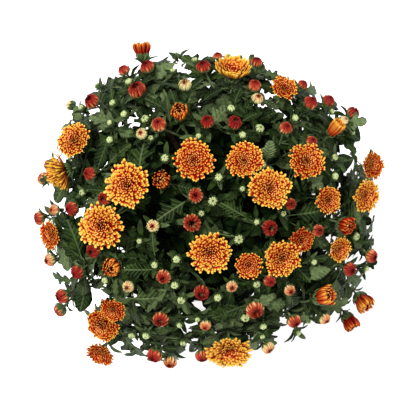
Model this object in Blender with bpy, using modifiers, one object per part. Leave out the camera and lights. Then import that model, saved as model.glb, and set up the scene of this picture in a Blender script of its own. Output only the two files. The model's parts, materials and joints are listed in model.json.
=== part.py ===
"""Pot chrysanthemum: a garden mum in full bud, growing as a dome of leafy stems out of a plain moulded pot.

The pot holds the soil, and every leafy stem stands in its own hole in the soil. A leafy stem forks into sprays,
and each spray carries an open or half-open flower with buds round it. Leaves, buds and the green cups under the
flowers have grown on their stem, so they are one body with it. Each flower is a body of its own over its cup.
"""

import math
import random

import bmesh
import bpy
import numpy as np
from mathutils import Matrix, Vector
from mathutils.bvhtree import BVHTree

# Pot and soil, in metres. The pot's foot stands at z = 0, round the vertical axis through the origin.
POT_HEIGHT = 0.155
POT_FOOT_RADIUS = 0.076
POT_RIM_RADIUS = 0.105
POT_WALL = 0.0024
POT_FLOOR = 0.003
RIM_BAND_HEIGHT = 0.026
RIM_BAND_STEP = 0.003
RIM_TAPER = 0.0008
BAND_CHAMFER = 0.001
POT_SIDES = 32
DRAIN_HOLES = 4
DRAIN_RADIUS = 0.006
DRAIN_CIRCLE = 0.052
DRAIN_SIDES = 6
DRAIN_CUTTER_LENGTH = 0.012
SOIL_LEVEL = 0.134
SOIL_MOUND = 0.004
SOIL_SHOULDER_RADIUS = 0.070
SOIL_SHOULDER_SHARE = 0.3
CLEARANCE = 0.0003
MERGE_DISTANCE = 0.00001
SHARP_ANGLE = math.radians(30)

# The canopy: a dome whose widest line lies above the rim. Its radius differs a little round the plant, and is
# given every 30 degrees, anticlockwise from +X.
DOME_LEVEL = 0.190
DOME_RISE = 0.158
DOME_SKIRT = 0.062
CANOPY_REACH = (0.181, 0.182, 0.165, 0.160, 0.174, 0.183, 0.183, 0.190, 0.190, 0.167, 0.170, 0.192)

# The stems part from one point below the soil, and each keeps to its own wedge of the dome. A ring of stems is
# how many there are, their lean and the bearing of the first, in degrees.
ROOT_CROWN = Vector((0.0, 0.0, 0.090))
STEM_RINGS = ((1, 0, 0), (5, 27, 15), (9, 51, 0))
STEM_DEPTH_IN_SOIL = 0.026
STEM_SIDES = 4
STEM_HOLE_SIDES = 6
STEM_HOLE_TOP = 0.154
STEM_RADIUS = 0.0034
FORK_RADIUS = 0.0028
SPRAY_RADIUS = 0.0019
TWIG_RADIUS = 0.0012
TWIG_SIDES = 3
NECK_RADIUS = 0.0011
NECK_LENGTH = 0.013
FORK_SHARE = 0.60
FORK_STEP = 0.005
SPRAY_SHARE = 0.79
LOWEST_SPRAY = 0.168
TWIG_STEP = 0.0055
SUNK = 0.001
SPRAY_HEADS = 4
# A twig that would meet its head nearly straight has no bend: the least cosine between the two.
STRAIGHT_TWIG = 0.80

# The heads are placed as a lens at this height, straight above the plant, sees them: east and north of the
# plant's middle in mm at the dome's widest level, and size in mm. The last three are the share of the dome's
# height that the head stands at and, where it turns away from the dome's slope, its lean and bearing.
LENS_HEIGHT = 1.75
MM = 0.001
FLOWERS = (
    (-142, 67, 38, 1.00, 34, 150),
    (-156, 34, 38, 0.93, 86, 196),
    (-87, 20, 46, 1.00, 18, 160),
    (-17, 46, 41, 1.00, 14, 90),
    (-114, -23, 48, 1.00, 22, 200),
    (24, 138, 40, 1.00, 52, 85),
    (78, 122, 28, 0.99, 32, 75),
    (36, 45, 37, 1.00, 12, 60),
    (101, 45, 38, 1.00, 20, 30),
    (63, 16, 42, 1.01, 12, 0),
    (129, 77, 26, 0.98, 60, 50),
    (169, 41, 28, 0.98, 38, 0),
    (162, 9, 31, 0.98, 34, 340),
    (124, 4, 28, 0.97, 22, 340),
    (-166, -32, 28, 0.98, 46, 190),
    (-102, -111, 26, 1.05, 30, 240),
    (-112, -127, 38, 0.97, 32, 236),
    (-114, -156, 30, 0.98, 44, 242),
    (0, -51, 42, 1.00, 16, 255),
    (41, -64, 27, 0.97, 14, 280),
    (76, -57, 38, 1.01, 20, 300),
    (96, -38, 26, 0.94, 24, 320),
    (135, -47, 25, 0.98, 36, 335),
    (20, -152, 44, 1.00, 44, 272),
)
# Flowers that are just opening, with their petals still up in a cup
OPENING_FLOWERS = (
    (120, -97, 22, 0.99, 50, 20),
    (161, -103, 22, 0.99, 60, 310),
    (147, -124, 20, 0.97, 74, 300),
    (-71, 162, 20, 0.97, 84, 95),
    (-32, 96, 19, 0.99, 22, 100),
    (-50, 25, 18, 0.97, None, None),
    (-102, -66, 19, 0.98, 26, 215),
    (143, -22, 18, 0.97, 40, 340),
)
# Buds: a share is given only where it isn't the usual one.
BUD_SHARE = 0.985
COLOURED_BUDS = (
    (-54, 84, 16), (-77, 120, 16), (-91, 141, 13), (-66, 144, 13), (-124, 108, 14), (-147, 104, 12),
    (-7, 144, 13), (-3, 87, 14), (-127, 32, 14), (-111, 6, 14), (-170, 41, 13, 0.95), (-176, 27, 14, 0.97),
    (-146, -5, 15), (-164, -6, 12), (-180, -15, 14), (-15, 9, 15), (8, 156, 10), (49, 149, 11),
    (47, 125, 14), (26, 86, 14), (80, 80, 14), (98, 126, 11), (106, 107, 15), (125, 109, 14), (151, 96, 14),
    (107, 66, 12), (85, 0, 12), (-19, -20, 16), (-123, -49, 15), (-169, -59, 13), (-140, -72, 15),
    (-156, -97, 16), (-158, -112, 15), (-49, -77, 15), (-9, -93, 14), (-52, -121, 14), (-59, -160, 16),
    (-42, -166, 13), (-5, -128, 12), (-8, -160, 15), (63, -25, 14), (114, -28, 12), (170, -55, 14),
    (147, -69, 14), (63, -81, 13), (23, -87, 12), (84, -91, 12), (47, -111, 16), (89, -124, 15),
    (121, -121, 12), (61, -151, 12), (-26, 125, 12), (-72, 74, 12), (50, 111, 12), (141, 88, 10),
    (-60, -23, 13), (-86, -87, 12),
)
GREEN_BUD_SHARE = 0.955
GREEN_BUDS = (
    (-36, 156, 10), (-118, 124, 9), (-85, 128, 10), (-102, 106, 9), (-90, 94, 10), (-68, 89, 10),
    (-105, 85, 8), (-105, 67, 10), (-47, 48, 10), (-16, 151, 8), (-135, 101, 8), (-134, 12, 8),
    (-12, 71, 8), (-39, 140, 7), (-62, 69, 7), (3, 3, 11), (19, 155, 9), (22, 100, 10), (34, 72, 10),
    (52, 79, 11), (89, 90, 10), (149, 75, 9), (128, 97, 7), (55, 41, 10), (131, 49, 8), (131, 29, 10),
    (9, 28, 11), (34, 16, 7), (-110, -80, 9), (-58, -64, 9), (-35, -58, 10), (-37, -85, 10),
    (-30, -101, 10), (-9, -10, 7), (-74, -39, 7), (-82, -138, 9), (-67, -138, 10), (-28, -146, 8),
    (-13, -121, 7), (-32, -127, 8), (153, -34, 10), (164, -68, 8), (30, -37, 11), (49, -19, 8),
    (49, -84, 9), (8, -98, 10), (37, -119, 11), (56, -128, 10), (92, -135, 10), (103, -123, 8),
    (109, -61, 8), (77, -10, 7), (55, -139, 7),
)
LOWEST_HEAD = 0.172
HALVINGS = 24
LEAN_SHARE = 0.80
LEAN_WOBBLE = 5.0
BEARING_WOBBLE = 12.0

# Each kind of head, in shares of its size: how far below its middle its twig ends, and what the twig widens
# into, as rings of sides, height and radius. That is a green cup under a flower, and otherwise the bud itself.
FOOT_SHARE = {"flower": 0.30, "opening": 0.62, "coloured": 0.50, "green": 0.42}
HEAD_RINGS = {
    "flower": ((6, -0.135, 0.155),),
    "opening": ((6, -0.36, 0.27),),
    "coloured": ((6, -0.02, 0.50), (3, 0.44, 0.25)),
    "green": ((6, 0.00, 0.50), (3, 0.42, 0.22)),
}

# A flower one unit across, from its foot to its middle. A ring is how far the petal tips reach and stand, how
# far the gaps between them reach and stand, and 1 where its tips stand over the gaps of the layer below.
FLOWER_RINGS = (
    (0.50, 0.00, 0.34, -0.05, 0),
    (0.27, 0.035, 0.27, 0.035, 0),
    (0.42, 0.15, 0.27, 0.10, 1),
    (0.17, 0.16, 0.17, 0.16, 1),
    (0.28, 0.27, 0.17, 0.21, 0),
)
FLOWER_FOOT = -0.125
FLOWER_MIDDLE = 0.19
OPENING_RINGS = (
    (0.36, -0.08, 0.36, -0.08, 0),
    (0.50, 0.36, 0.42, 0.16, 0),
    (0.28, 0.18, 0.28, 0.18, 0),
    (0.27, 0.44, 0.20, 0.28, 1),
)
OPENING_FOOT = -0.345
OPENING_MIDDLE = 0.22
LARGE_FROM = 0.034
PETALS = {"large": 11, "small": 9, "opening": 7}
PETAL_REACH_WOBBLE = 0.10
PETAL_HEIGHT_WOBBLE = 0.015

# Leaves: blades spread evenly over the dome in layers, each on a stalk from the twig that suits it best. Half
# of a lobed blade's outline runs up from the top of its stalk: share of the width across, share of the length
# along and how far the margin lifts. The blade starts at 0 and its tip is at 1.
LEAF_COUNT = 154
LEAF_LAYERS = (0.90, 0.79, 0.86, 0.68)
LEAF_LOWEST_POLAR = math.radians(104)
LEAF_LENGTH = 0.041
LEAF_WIDTH = 0.036
LEAF_STALK = 0.42
LEAF_SIZES = (1.0, 0.84, 0.70)
LEAF_SHORTEST = 0.72
LEAF_LONGEST = 1.2
LEAF_LEAN_SHARE = 0.62
LEAF_TILT = 0.3
LEAF_TRIES = 30
# A twig suits a leaf less, the further it lies off the blade's plane and below the blade
OFF_PLANE_WEIGHT = 0.9
BELOW_WEIGHT = 0.5
TWIG_SPACING = 0.006
BLADE_OUTLINE = (
    (0.036, 0.00, 0.0),
    (0.41, 0.27, 0.0012),
    (0.22, 0.42, 0.0002),
    (0.50, 0.62, 0.0016),
    (0.25, 0.74, 0.0004),
)
BLADE_MIDDLE = 0.50
TIP_DROOP = -0.0016
MIDRIB_DIP = -0.0006
KEEL_DEPTH = 0.0021
# What a leaf keeps clear of another stem's wedge, of the rim and of a head. A head is taken as drums round its
# axis: lowest, highest and radius, in shares of its size.
WEDGE_MARGIN = 0.0007
RIM_MARGIN = 0.004
HEAD_MARGIN = 0.0012
FLOWER_DRUMS = ((-0.20, 0.40, 0.50), (-0.45, 0.40, 0.30))
BUD_DRUM = (-0.70, 0.80, 0.50)

SEED = 41
COLOURS = {
    "pot": ((0.16, 0.055, 0.032), 0.55),
    "soil": ((0.022, 0.014, 0.009), 0.95),
    "leafy_stem": ((0.030, 0.085, 0.022), 0.60),
    "flower": ((0.82, 0.30, 0.03), 0.55),
    "opening_flower": ((0.62, 0.13, 0.03), 0.55),
}


def clear_scene():
    for obj in list(bpy.data.objects):
        bpy.data.objects.remove(obj, do_unlink=True)


def new_collection(name):
    made = bpy.data.collections.new(name)
    bpy.context.scene.collection.children.link(made)
    return made


def material_of(kind):
    """The matte finish of a kind of piece."""
    material = bpy.data.materials.get(kind)
    if material is None:
        material = bpy.data.materials.new(kind)
        material.use_nodes = True
        colour, roughness = COLOURS[kind]
        shader = material.node_tree.nodes["Principled BSDF"]
        shader.inputs["Base Color"].default_value = (*colour, 1.0)
        shader.inputs["Roughness"].default_value = roughness
        shader.inputs["Metallic"].default_value = 0.0
    return material


def mesh_from(name, bm):
    """A closed mesh with its faces pointing out, from a bmesh."""
    bmesh.ops.recalc_face_normals(bm, faces=bm.faces)
    mesh = bpy.data.meshes.new(name)
    bm.to_mesh(mesh)
    bm.free()
    return mesh


def place(name, mesh, collection, matrix=None):
    obj = bpy.data.objects.new(name, mesh)
    collection.objects.link(obj)
    if matrix is not None:
        obj.matrix_world = matrix
    return obj


def apply_modifiers(obj):
    """Leaves the object's mesh as its modifiers make it, with the modifiers gone."""
    graph = bpy.context.evaluated_depsgraph_get()
    mesh = bpy.data.meshes.new_from_object(obj.evaluated_get(graph))
    obj.modifiers.clear()
    obj.data = mesh


def combine(obj, collection, operation):
    """One Boolean of the object with a whole collection, whose objects are then gone."""
    boolean = obj.modifiers.new("combine", "BOOLEAN")
    boolean.operation = operation
    boolean.operand_type = "COLLECTION"
    boolean.solver = "EXACT"
    boolean.collection = collection
    apply_modifiers(obj)
    for helper in list(collection.objects):
        bpy.data.objects.remove(helper, do_unlink=True)
    bpy.data.collections.remove(collection)


def leaf_matrix(root, side, along, up, width, length):
    """Puts a leaf's x, y and z along side, along and up, at its width and length."""
    matrix = Matrix.Identity(4)
    for i, column in enumerate((side * width, along * length, up, root)):
        matrix.col[i][:3] = column
    return matrix


def head_matrix(head):
    """Stands a piece that was modelled along +Z at a head, on the way it faces, scaled and turned about it."""
    turn = Vector((0, 0, 1)).rotation_difference(head["facing"]).to_matrix().to_4x4()
    spin = Matrix.Rotation(head["spin"], 4, "Z")
    return Matrix.Translation(head["point"]) @ turn @ spin @ Matrix.Scale(head["size"], 4)


def lathe(name, profile, collection):
    """Turns a profile of (radius, height) points about the axis. Its ends lie on the axis, and its outer side
    runs from the top down."""
    mesh = bpy.data.meshes.new(name)
    points = [(radius, 0.0, height) for radius, height in profile]
    mesh.from_pydata(points, [(i, i + 1) for i in range(len(points) - 1)], [])
    obj = place(name, mesh, collection)
    screw = obj.modifiers.new("turn", "SCREW")
    screw.steps = POT_SIDES
    screw.render_steps = POT_SIDES
    screw.use_merge_vertices = True
    screw.merge_threshold = MERGE_DISTANCE
    apply_modifiers(obj)
    return obj


def shade_round(obj):
    obj.data.shade_smooth()
    obj.data.set_sharp_from_angle(angle=SHARP_ANGLE)


# The dome


def canopy_reach(azimuth):
    """The dome's radius in a direction, eased between the values given round it."""
    count = len(CANOPY_REACH)
    step = azimuth / (2 * math.pi) * count % count
    low = int(step) % count
    share = step - int(step)
    share = share * share * (3 - 2 * share)
    return CANOPY_REACH[low] * (1 - share) + CANOPY_REACH[(low + 1) % count] * share


def dome_reach(direction):
    """How far the dome's skin lies from its middle in a direction."""
    radius = canopy_reach(math.atan2(direction.y, direction.x))
    rise = DOME_RISE if direction.z >= 0 else DOME_SKIRT
    return 1 / math.hypot(math.hypot(direction.x, direction.y) / radius, direction.z / rise)


def crown_reach(direction):
    """How far the dome's skin lies from the root crown in a direction."""
    across = math.hypot(direction.x, direction.y)
    radius = canopy_reach(math.atan2(direction.y, direction.x))
    drop = ROOT_CROWN.z - DOME_LEVEL
    for rise in (DOME_RISE, DOME_SKIRT):
        a = (across / radius) ** 2 + (direction.z / rise) ** 2
        b = direction.z * drop / rise**2
        c = (drop / rise) ** 2 - 1
        distance = (-b + math.sqrt(max(b * b - a * c, 0.0))) / a
        if ROOT_CROWN.z + distance * direction.z >= DOME_LEVEL:
            break
    return distance


def direction_of(polar, azimuth):
    return Vector((math.sin(polar) * math.cos(azimuth), math.sin(polar) * math.sin(azimuth), math.cos(polar)))


def dome_slope(point, lean_share):
    """The dome's outward slope at a point near its skin, with its lean cut to a share."""
    radius = canopy_reach(math.atan2(point.y, point.x))
    rise = DOME_RISE if point.z >= DOME_LEVEL else DOME_SKIRT
    slope = Vector((point.x / radius**2, point.y / radius**2, (point.z - DOME_LEVEL) / rise**2)).normalized()
    return direction_of(math.acos(slope.z) * lean_share, math.atan2(slope.y, slope.x))


def stem_directions():
    found = []
    for count, lean, bearing in STEM_RINGS:
        for i in range(count):
            found.append(direction_of(math.radians(lean), math.radians(bearing + 360 * i / count)))
    return found


def nearest_stem(point, directions):
    away = (point - ROOT_CROWN).normalized()
    return max(range(len(directions)), key=lambda i: away.dot(directions[i]))


# Heads: every flower and bud


def settle(east, north, share):
    """The point that the lens sees here on the dome, drawn in to a share of its reach."""

    def at(height):
        nearer = (LENS_HEIGHT - height) / (LENS_HEIGHT - DOME_LEVEL)
        return Vector((east * nearer, north * nearer, height))

    low, high = LOWEST_HEAD, DOME_LEVEL + DOME_RISE
    for _ in range(HALVINGS):
        middle = (low + high) / 2
        away = at(middle) - ROOT_CROWN
        if away.length < share * crown_reach(away.normalized()):
            low = middle
        else:
            high = middle
    return at(low)


def all_heads():
    """Every head as a dictionary, open flowers first."""
    rows = [("flower", *row) for row in FLOWERS]
    rows += [("opening", *row) for row in OPENING_FLOWERS]
    rows += [("coloured", *(row + (BUD_SHARE,))[:4], None, None) for row in COLOURED_BUDS]
    rows += [("green", *(row + (GREEN_BUD_SHARE,))[:4], None, None) for row in GREEN_BUDS]
    chance = random.Random(SEED)
    directions = stem_directions()
    heads = []
    for kind, east, north, size, share, lean, bearing in rows:
        point = settle(east * MM, north * MM, share)
        lean_wobble = chance.uniform(-LEAN_WOBBLE, LEAN_WOBBLE)
        bearing_wobble = chance.uniform(-BEARING_WOBBLE, BEARING_WOBBLE)
        if lean is None:
            out = dome_slope(point, LEAN_SHARE)
            lean = math.degrees(math.acos(out.z)) + lean_wobble
            bearing = math.degrees(math.atan2(out.y, out.x)) + bearing_wobble
        heads.append(
            {
                "kind": kind,
                "point": point,
                "facing": direction_of(math.radians(lean), math.radians(bearing)),
                "size": size * MM,
                "spin": chance.uniform(0, 2 * math.pi),
                "stem": nearest_stem(point, directions),
            }
        )
    return heads


# Stems


def sprays_of(heads):
    """Groups of near heads on one stem. The first in each is its most open head."""
    waiting = list(range(len(heads)))
    sprays = []
    while waiting:
        leader = heads[waiting[0]]
        near = [i for i in waiting if heads[i]["stem"] == leader["stem"]]
        near.sort(key=lambda i: (heads[i]["point"] - leader["point"]).length)
        members = near[:SPRAY_HEADS]
        sprays.append(members)
        waiting = [i for i in waiting if i not in members]
    return sprays


def stem_routes(heads):
    """Every stretch of stem as its leafy stem, its points, its radii and the head that it ends in, if any.

    A spray's leading head stands on the spray itself, and the others branch off it one after another. Low
    sprays leave a main stem at its top, so that they pass over the rim."""
    routes = []
    forks = []
    for number, direction in enumerate(stem_directions()):
        start = ROOT_CROWN + direction * ((SOIL_LEVEL - STEM_DEPTH_IN_SOIL - ROOT_CROWN.z) / direction.z)
        fork = ROOT_CROWN + direction * (FORK_SHARE * crown_reach(direction))
        forks.append((start, fork))
        routes.append((number, (start, fork), (STEM_RADIUS, FORK_RADIUS), None))
    sprays = []
    for members in sprays_of(heads):
        mean = sum((heads[i]["point"] for i in members), Vector()) / len(members)
        away = (mean - ROOT_CROWN).normalized()
        spray = ROOT_CROWN + away * (SPRAY_SHARE * crown_reach(away))
        spray.z = max(spray.z, LOWEST_SPRAY)
        sprays.append((spray, members))
    used = [0] * len(forks)
    for spray, members in sorted(sprays, key=lambda pair: pair[0].z):
        number = heads[members[0]]["stem"]
        start, fork = forks[number]
        base = fork + (start - fork).normalized() * (SUNK + FORK_STEP * used[number])
        used[number] += 1
        for order, i in enumerate(members):
            head = heads[i]
            foot = head["point"] - head["facing"] * (FOOT_SHARE[head["kind"]] * head["size"])
            neck = foot - head["facing"] * NECK_LENGTH
            if order == 0:
                points = (base, spray, neck, foot)
                radii = (SPRAY_RADIUS, SPRAY_RADIUS, NECK_RADIUS, NECK_RADIUS)
            else:
                root = spray + (base - spray).normalized() * (SUNK + TWIG_STEP * (order - 1))
                straight = (foot - root).normalized().dot(head["facing"]) > STRAIGHT_TWIG
                points = (root, foot) if head["kind"] == "green" or straight else (root, neck, foot)
                radii = (TWIG_RADIUS, NECK_RADIUS, NECK_RADIUS)[: len(points)]
            routes.append((number, points, radii, i))
    return routes


def ring_frames(points):
    """Three square directions at each point of a path, the first along it, turned on without a twist."""
    frames = []
    along = (points[1] - points[0]).normalized()
    side = along.orthogonal().normalized()
    for i in range(len(points)):
        after = (points[min(i + 1, len(points) - 1)] - points[max(i - 1, 0)]).normalized()
        side = along.rotation_difference(after) @ side
        along = after
        frames.append((along, side, along.cross(side)))
    return frames


def ring_at(point, frame, radius, sides):
    _along, side, other = frame
    angles = [2 * math.pi * k / sides for k in range(sides)]
    return [point + side * (radius * math.cos(a)) + other * (radius * math.sin(a)) for a in angles]


def loft(name, rings):
    """A closed skin over rings of points, each with as many points as the last, half as many or twice."""
    bm = bmesh.new()
    made = [[bm.verts.new(point) for point in ring] for ring in rings]
    for low, high in zip(made, made[1:]):
        few, many = (low, high) if len(low) <= len(high) else (high, low)
        for k, point in enumerate(few):
            after = few[(k + 1) % len(few)]
            if len(few) == len(many):
                bm.faces.new((point, after, many[(k + 1) % len(many)], many[k]))
                continue
            first, middle, last = many[2 * k], many[2 * k + 1], many[(2 * k + 2) % len(many)]
            bm.faces.new((point, middle, first))
            bm.faces.new((point, after, middle))
            bm.faces.new((after, last, middle))
    bm.faces.new(made[0])
    bm.faces.new(made[-1])
    return mesh_from(name, bm)


def tube_mesh(name, points, radii, sides):
    """A tapering, few-sided tube through its points."""
    rings = [ring_at(p, f, r, sides) for p, f, r in zip(points, ring_frames(points), radii)]
    return loft(name, rings)


def twig_mesh(points, radii, head):
    """A twig and the bud or green cup that it widens into, as one skin."""
    frames = ring_frames(points)
    rings = [ring_at(p, f, r, TWIG_SIDES) for p, f, r in zip(points, frames, radii)]
    facing = head["facing"]
    along, side, _other = frames[-1]
    side = along.rotation_difference(facing) @ side
    square = (facing, side, facing.cross(side))
    for sides, height, radius in HEAD_RINGS[head["kind"]]:
        middle = head["point"] + facing * (height * head["size"])
        rings.append(ring_at(middle, square, radius * head["size"], sides))
    return loft("twig", rings)


# Leaves


def blade_margin():
    """The margin from the root of the stalk round by the tip, in shares of width and length."""
    left = [(-x, y, z) for x, y, z in BLADE_OUTLINE]
    right = [(x, y, z) for x, y, z in reversed(BLADE_OUTLINE)]
    return [(0.0, -LEAF_STALK, 0.0)] + left + [(0.0, 1.0, TIP_DROOP)] + right


def leaf_mesh():
    """A blade one unit wide and long: thickest at the midrib, thinning to its margin and its stalk's root."""
    bm = bmesh.new()
    margin = [bm.verts.new(point) for point in blade_margin()]
    rib = bm.verts.new((0, BLADE_MIDDLE, MIDRIB_DIP))
    keel = bm.verts.new((0, BLADE_MIDDLE, MIDRIB_DIP - KEEL_DEPTH))
    for first, second in zip(margin, margin[1:] + margin[:1]):
        bm.faces.new((rib, second, first))
        bm.faces.new((keel, first, second))
    return mesh_from("leaf", bm)


def blade_points():
    """Points all over the blade, for keeping it clear of other things."""
    margin = np.array(blade_margin())
    edge = np.concatenate([margin, (margin[1:] + margin[:-1]) / 2])
    middle = np.array([0, BLADE_MIDDLE, MIDRIB_DIP])
    inner = (edge + middle) / 2
    return np.concatenate([edge, (edge + inner) / 2, inner, [middle]])


class Surroundings:
    """What a leaf keeps clear of: its neighbours' wedges, the pot's rim and every head."""

    def __init__(self, heads):
        self.directions = np.array([list(d) for d in stem_directions()])
        self.middles = np.array([list(h["point"]) for h in heads])
        self.facings = np.array([list(h["facing"]) for h in heads])
        self.sizes = np.array([h["size"] for h in heads])
        self.open = np.array([h["kind"] == "flower" for h in heads])

    def in_wedge(self, points, stem):
        away = points - np.array(ROOT_CROWN)
        for number, direction in enumerate(self.directions):
            side = self.directions[stem] - direction
            if number != stem and (away @ (side / np.linalg.norm(side))).min() < WEDGE_MARGIN:
                return False
        return True

    def off_rim(self, points):
        across = np.hypot(points[:, 0], points[:, 1])
        return not ((points[:, 2] < POT_HEIGHT + RIM_MARGIN) & (across < POT_RIM_RADIUS + RIM_MARGIN)).any()

    def off_heads(self, points):
        offset = points[:, None, :] - self.middles[None, :, :]
        rise = (offset * self.facings[None]).sum(2)
        out = np.sqrt(np.maximum((offset**2).sum(2) - rise**2, 0.0))
        rise, out = rise / self.sizes, (out - HEAD_MARGIN) / self.sizes

        def inside(drum):
            low, high, radius = drum
            return (rise > low) & (rise < high) & (out < radius)

        in_flower = inside(FLOWER_DRUMS[0]) | inside(FLOWER_DRUMS[1])
        return not np.where(self.open, in_flower, inside(BUD_DRUM)).any()

    def allow(self, points, stem):
        return self.in_wedge(points, stem) and self.off_rim(points) and self.off_heads(points)


def shape_of(mesh, matrix):
    """A search tree of a placed mesh, for finding what it crosses."""
    points = [matrix @ vertex.co for vertex in mesh.vertices]
    return BVHTree.FromPolygons(points, [tuple(face.vertices) for face in mesh.polygons])


def leaf_targets():
    """The middle of each blade, spread evenly over the dome, layer after layer."""
    golden = math.pi * (3 - math.sqrt(5))
    lowest = math.cos(LEAF_LOWEST_POLAR)
    targets = []
    for i in range(LEAF_COUNT):
        direction = direction_of(math.acos(1 - (i + 0.5) / LEAF_COUNT * (1 - lowest)), i * golden)
        share = LEAF_LAYERS[i % len(LEAF_LAYERS)]
        targets.append(Vector((0, 0, DOME_LEVEL)) + direction * (share * dome_reach(direction)))
    return targets


def twig_places(routes):
    """For each leafy stem, points along its twigs above the pot, each with the number of its route."""
    places = [[] for _ in stem_directions()]
    for k, (number, points, _radii, _head) in enumerate(routes):
        for first, last in zip(points, points[1:]):
            steps = max(2, round((last - first).length / TWIG_SPACING))
            along = [(first.lerp(last, i / steps), k) for i in range(steps)]
            places[number] += [pair for pair in along if pair[0].z > POT_HEIGHT]
    return places


def leaves_of(heads, routes, route_meshes):
    """Each leaf's matrix and stem. A leaf keeps clear of other stems and of every twig and leaf but its own."""
    chance = random.Random(SEED + 1)
    around = Surroundings(heads)
    directions = stem_directions()
    places = twig_places(routes)
    mesh = leaf_mesh()
    blade = blade_points()
    taken = [[] for _ in directions]
    for k, route in enumerate(routes):
        taken[route[0]].append((k, shape_of(route_meshes[k], Matrix.Identity(4))))
    leaves = []
    for target in leaf_targets():
        stem = nearest_stem(target, directions)
        slope = dome_slope(target, LEAF_LEAN_SHARE)
        tilt = chance.uniform(-LEAF_TILT, LEAF_TILT)

        def misfit(twig):
            reach = target - twig[0]
            length_error = abs(reach.length - (LEAF_STALK + BLADE_MIDDLE) * LEAF_LENGTH)
            return length_error + OFF_PLANE_WEIGHT * abs(reach.dot(slope)) + BELOW_WEIGHT * max(0.0, reach.z)

        near = sorted(places[stem], key=misfit)[:LEAF_TRIES]
        for size, (point, route) in ((s, n) for s in LEAF_SIZES for n in near):
            along = (target - point).normalized()
            length = (target - point).length / (LEAF_STALK + BLADE_MIDDLE)
            length = size * min(max(length, LEAF_SHORTEST * LEAF_LENGTH), LEAF_LONGEST * LEAF_LENGTH)
            side = along.cross(slope).normalized()
            up = (side.cross(along) + side * tilt).normalized()
            root = point + along * (LEAF_STALK * length)
            width = length * LEAF_WIDTH / LEAF_LENGTH
            matrix = leaf_matrix(root, along.cross(up), along, up, width, length)
            if not around.allow(blade @ np.array(matrix.to_3x3()).T + np.array(root), stem):
                continue
            shape = shape_of(mesh, matrix)
            if any(k != route and shape.overlap(other) for k, other in taken[stem]):
                continue
            leaves.append((matrix, stem))
            taken[stem].append((None, shape))
            break
    return leaves, mesh


# Flowers


def flower_mesh(name, petals, rings, foot_height, middle_height, seed):
    """A double flower one unit across, as one skin whose layers part into petals."""
    chance = random.Random(seed)
    count = 2 * petals
    bm = bmesh.new()
    foot = bm.verts.new((0, 0, foot_height))
    middle = bm.verts.new((0, 0, middle_height))
    made = []
    for tip_reach, tip_height, gap_reach, gap_height, offset in rings:
        ring = []
        for k in range(count):
            reach, height = (tip_reach, tip_height) if k % 2 == offset else (gap_reach, gap_height)
            if reach > gap_reach:
                reach *= 1 - chance.uniform(0, PETAL_REACH_WOBBLE)
                height += chance.uniform(-PETAL_HEIGHT_WOBBLE, PETAL_HEIGHT_WOBBLE)
            turn = 2 * math.pi * k / count
            ring.append(bm.verts.new((reach * math.cos(turn), reach * math.sin(turn), height)))
        made.append(ring)
    for k in range(count):
        after = (k + 1) % count
        bm.faces.new((foot, made[0][after], made[0][k]))
        bm.faces.new((middle, made[-1][k], made[-1][after]))
        for lower, upper in zip(made, made[1:]):
            bm.faces.new((lower[k], lower[after], upper[k]))
            bm.faces.new((lower[after], upper[after], upper[k]))
    return mesh_from(name, bm)


# The object's pieces


def pot_slope():
    """How much the pot's wall widens with height."""
    return (POT_RIM_RADIUS - RIM_BAND_STEP - POT_FOOT_RADIUS) / (POT_HEIGHT - RIM_BAND_HEIGHT)


def build_pot(collection):
    """A tapered pot with a thicker band at its rim and holes in its floor."""
    band_low = POT_HEIGHT - RIM_BAND_HEIGHT
    under_band = POT_RIM_RADIUS - RIM_BAND_STEP
    profile = (
        (0.0, POT_FLOOR),
        (POT_FOOT_RADIUS - POT_WALL + pot_slope() * POT_FLOOR, POT_FLOOR),
        (under_band - POT_WALL, band_low - BAND_CHAMFER),
        (under_band - POT_WALL + RIM_TAPER, POT_HEIGHT),
        (POT_RIM_RADIUS, POT_HEIGHT),
        (POT_RIM_RADIUS - RIM_TAPER, band_low),
        (under_band, band_low - BAND_CHAMFER),
        (POT_FOOT_RADIUS, 0.0),
        (0.0, 0.0),
    )
    pot = lathe("pot", profile, collection)
    cutters = new_collection("drain_cutters")
    for i in range(DRAIN_HOLES):
        turn = 2 * math.pi * (i + 0.5) / DRAIN_HOLES
        bm = bmesh.new()
        bmesh.ops.create_cone(
            bm,
            cap_ends=True,
            segments=DRAIN_SIDES,
            radius1=DRAIN_RADIUS,
            radius2=DRAIN_RADIUS,
            depth=DRAIN_CUTTER_LENGTH,
        )
        spot = Vector((DRAIN_CIRCLE * math.cos(turn), DRAIN_CIRCLE * math.sin(turn), POT_FLOOR / 2))
        place("drain_cutter", mesh_from("drain_cutter", bm), cutters, Matrix.Translation(spot))
    combine(pot, cutters, "DIFFERENCE")
    shade_round(pot)
    pot.data.materials.append(material_of("pot"))


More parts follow.
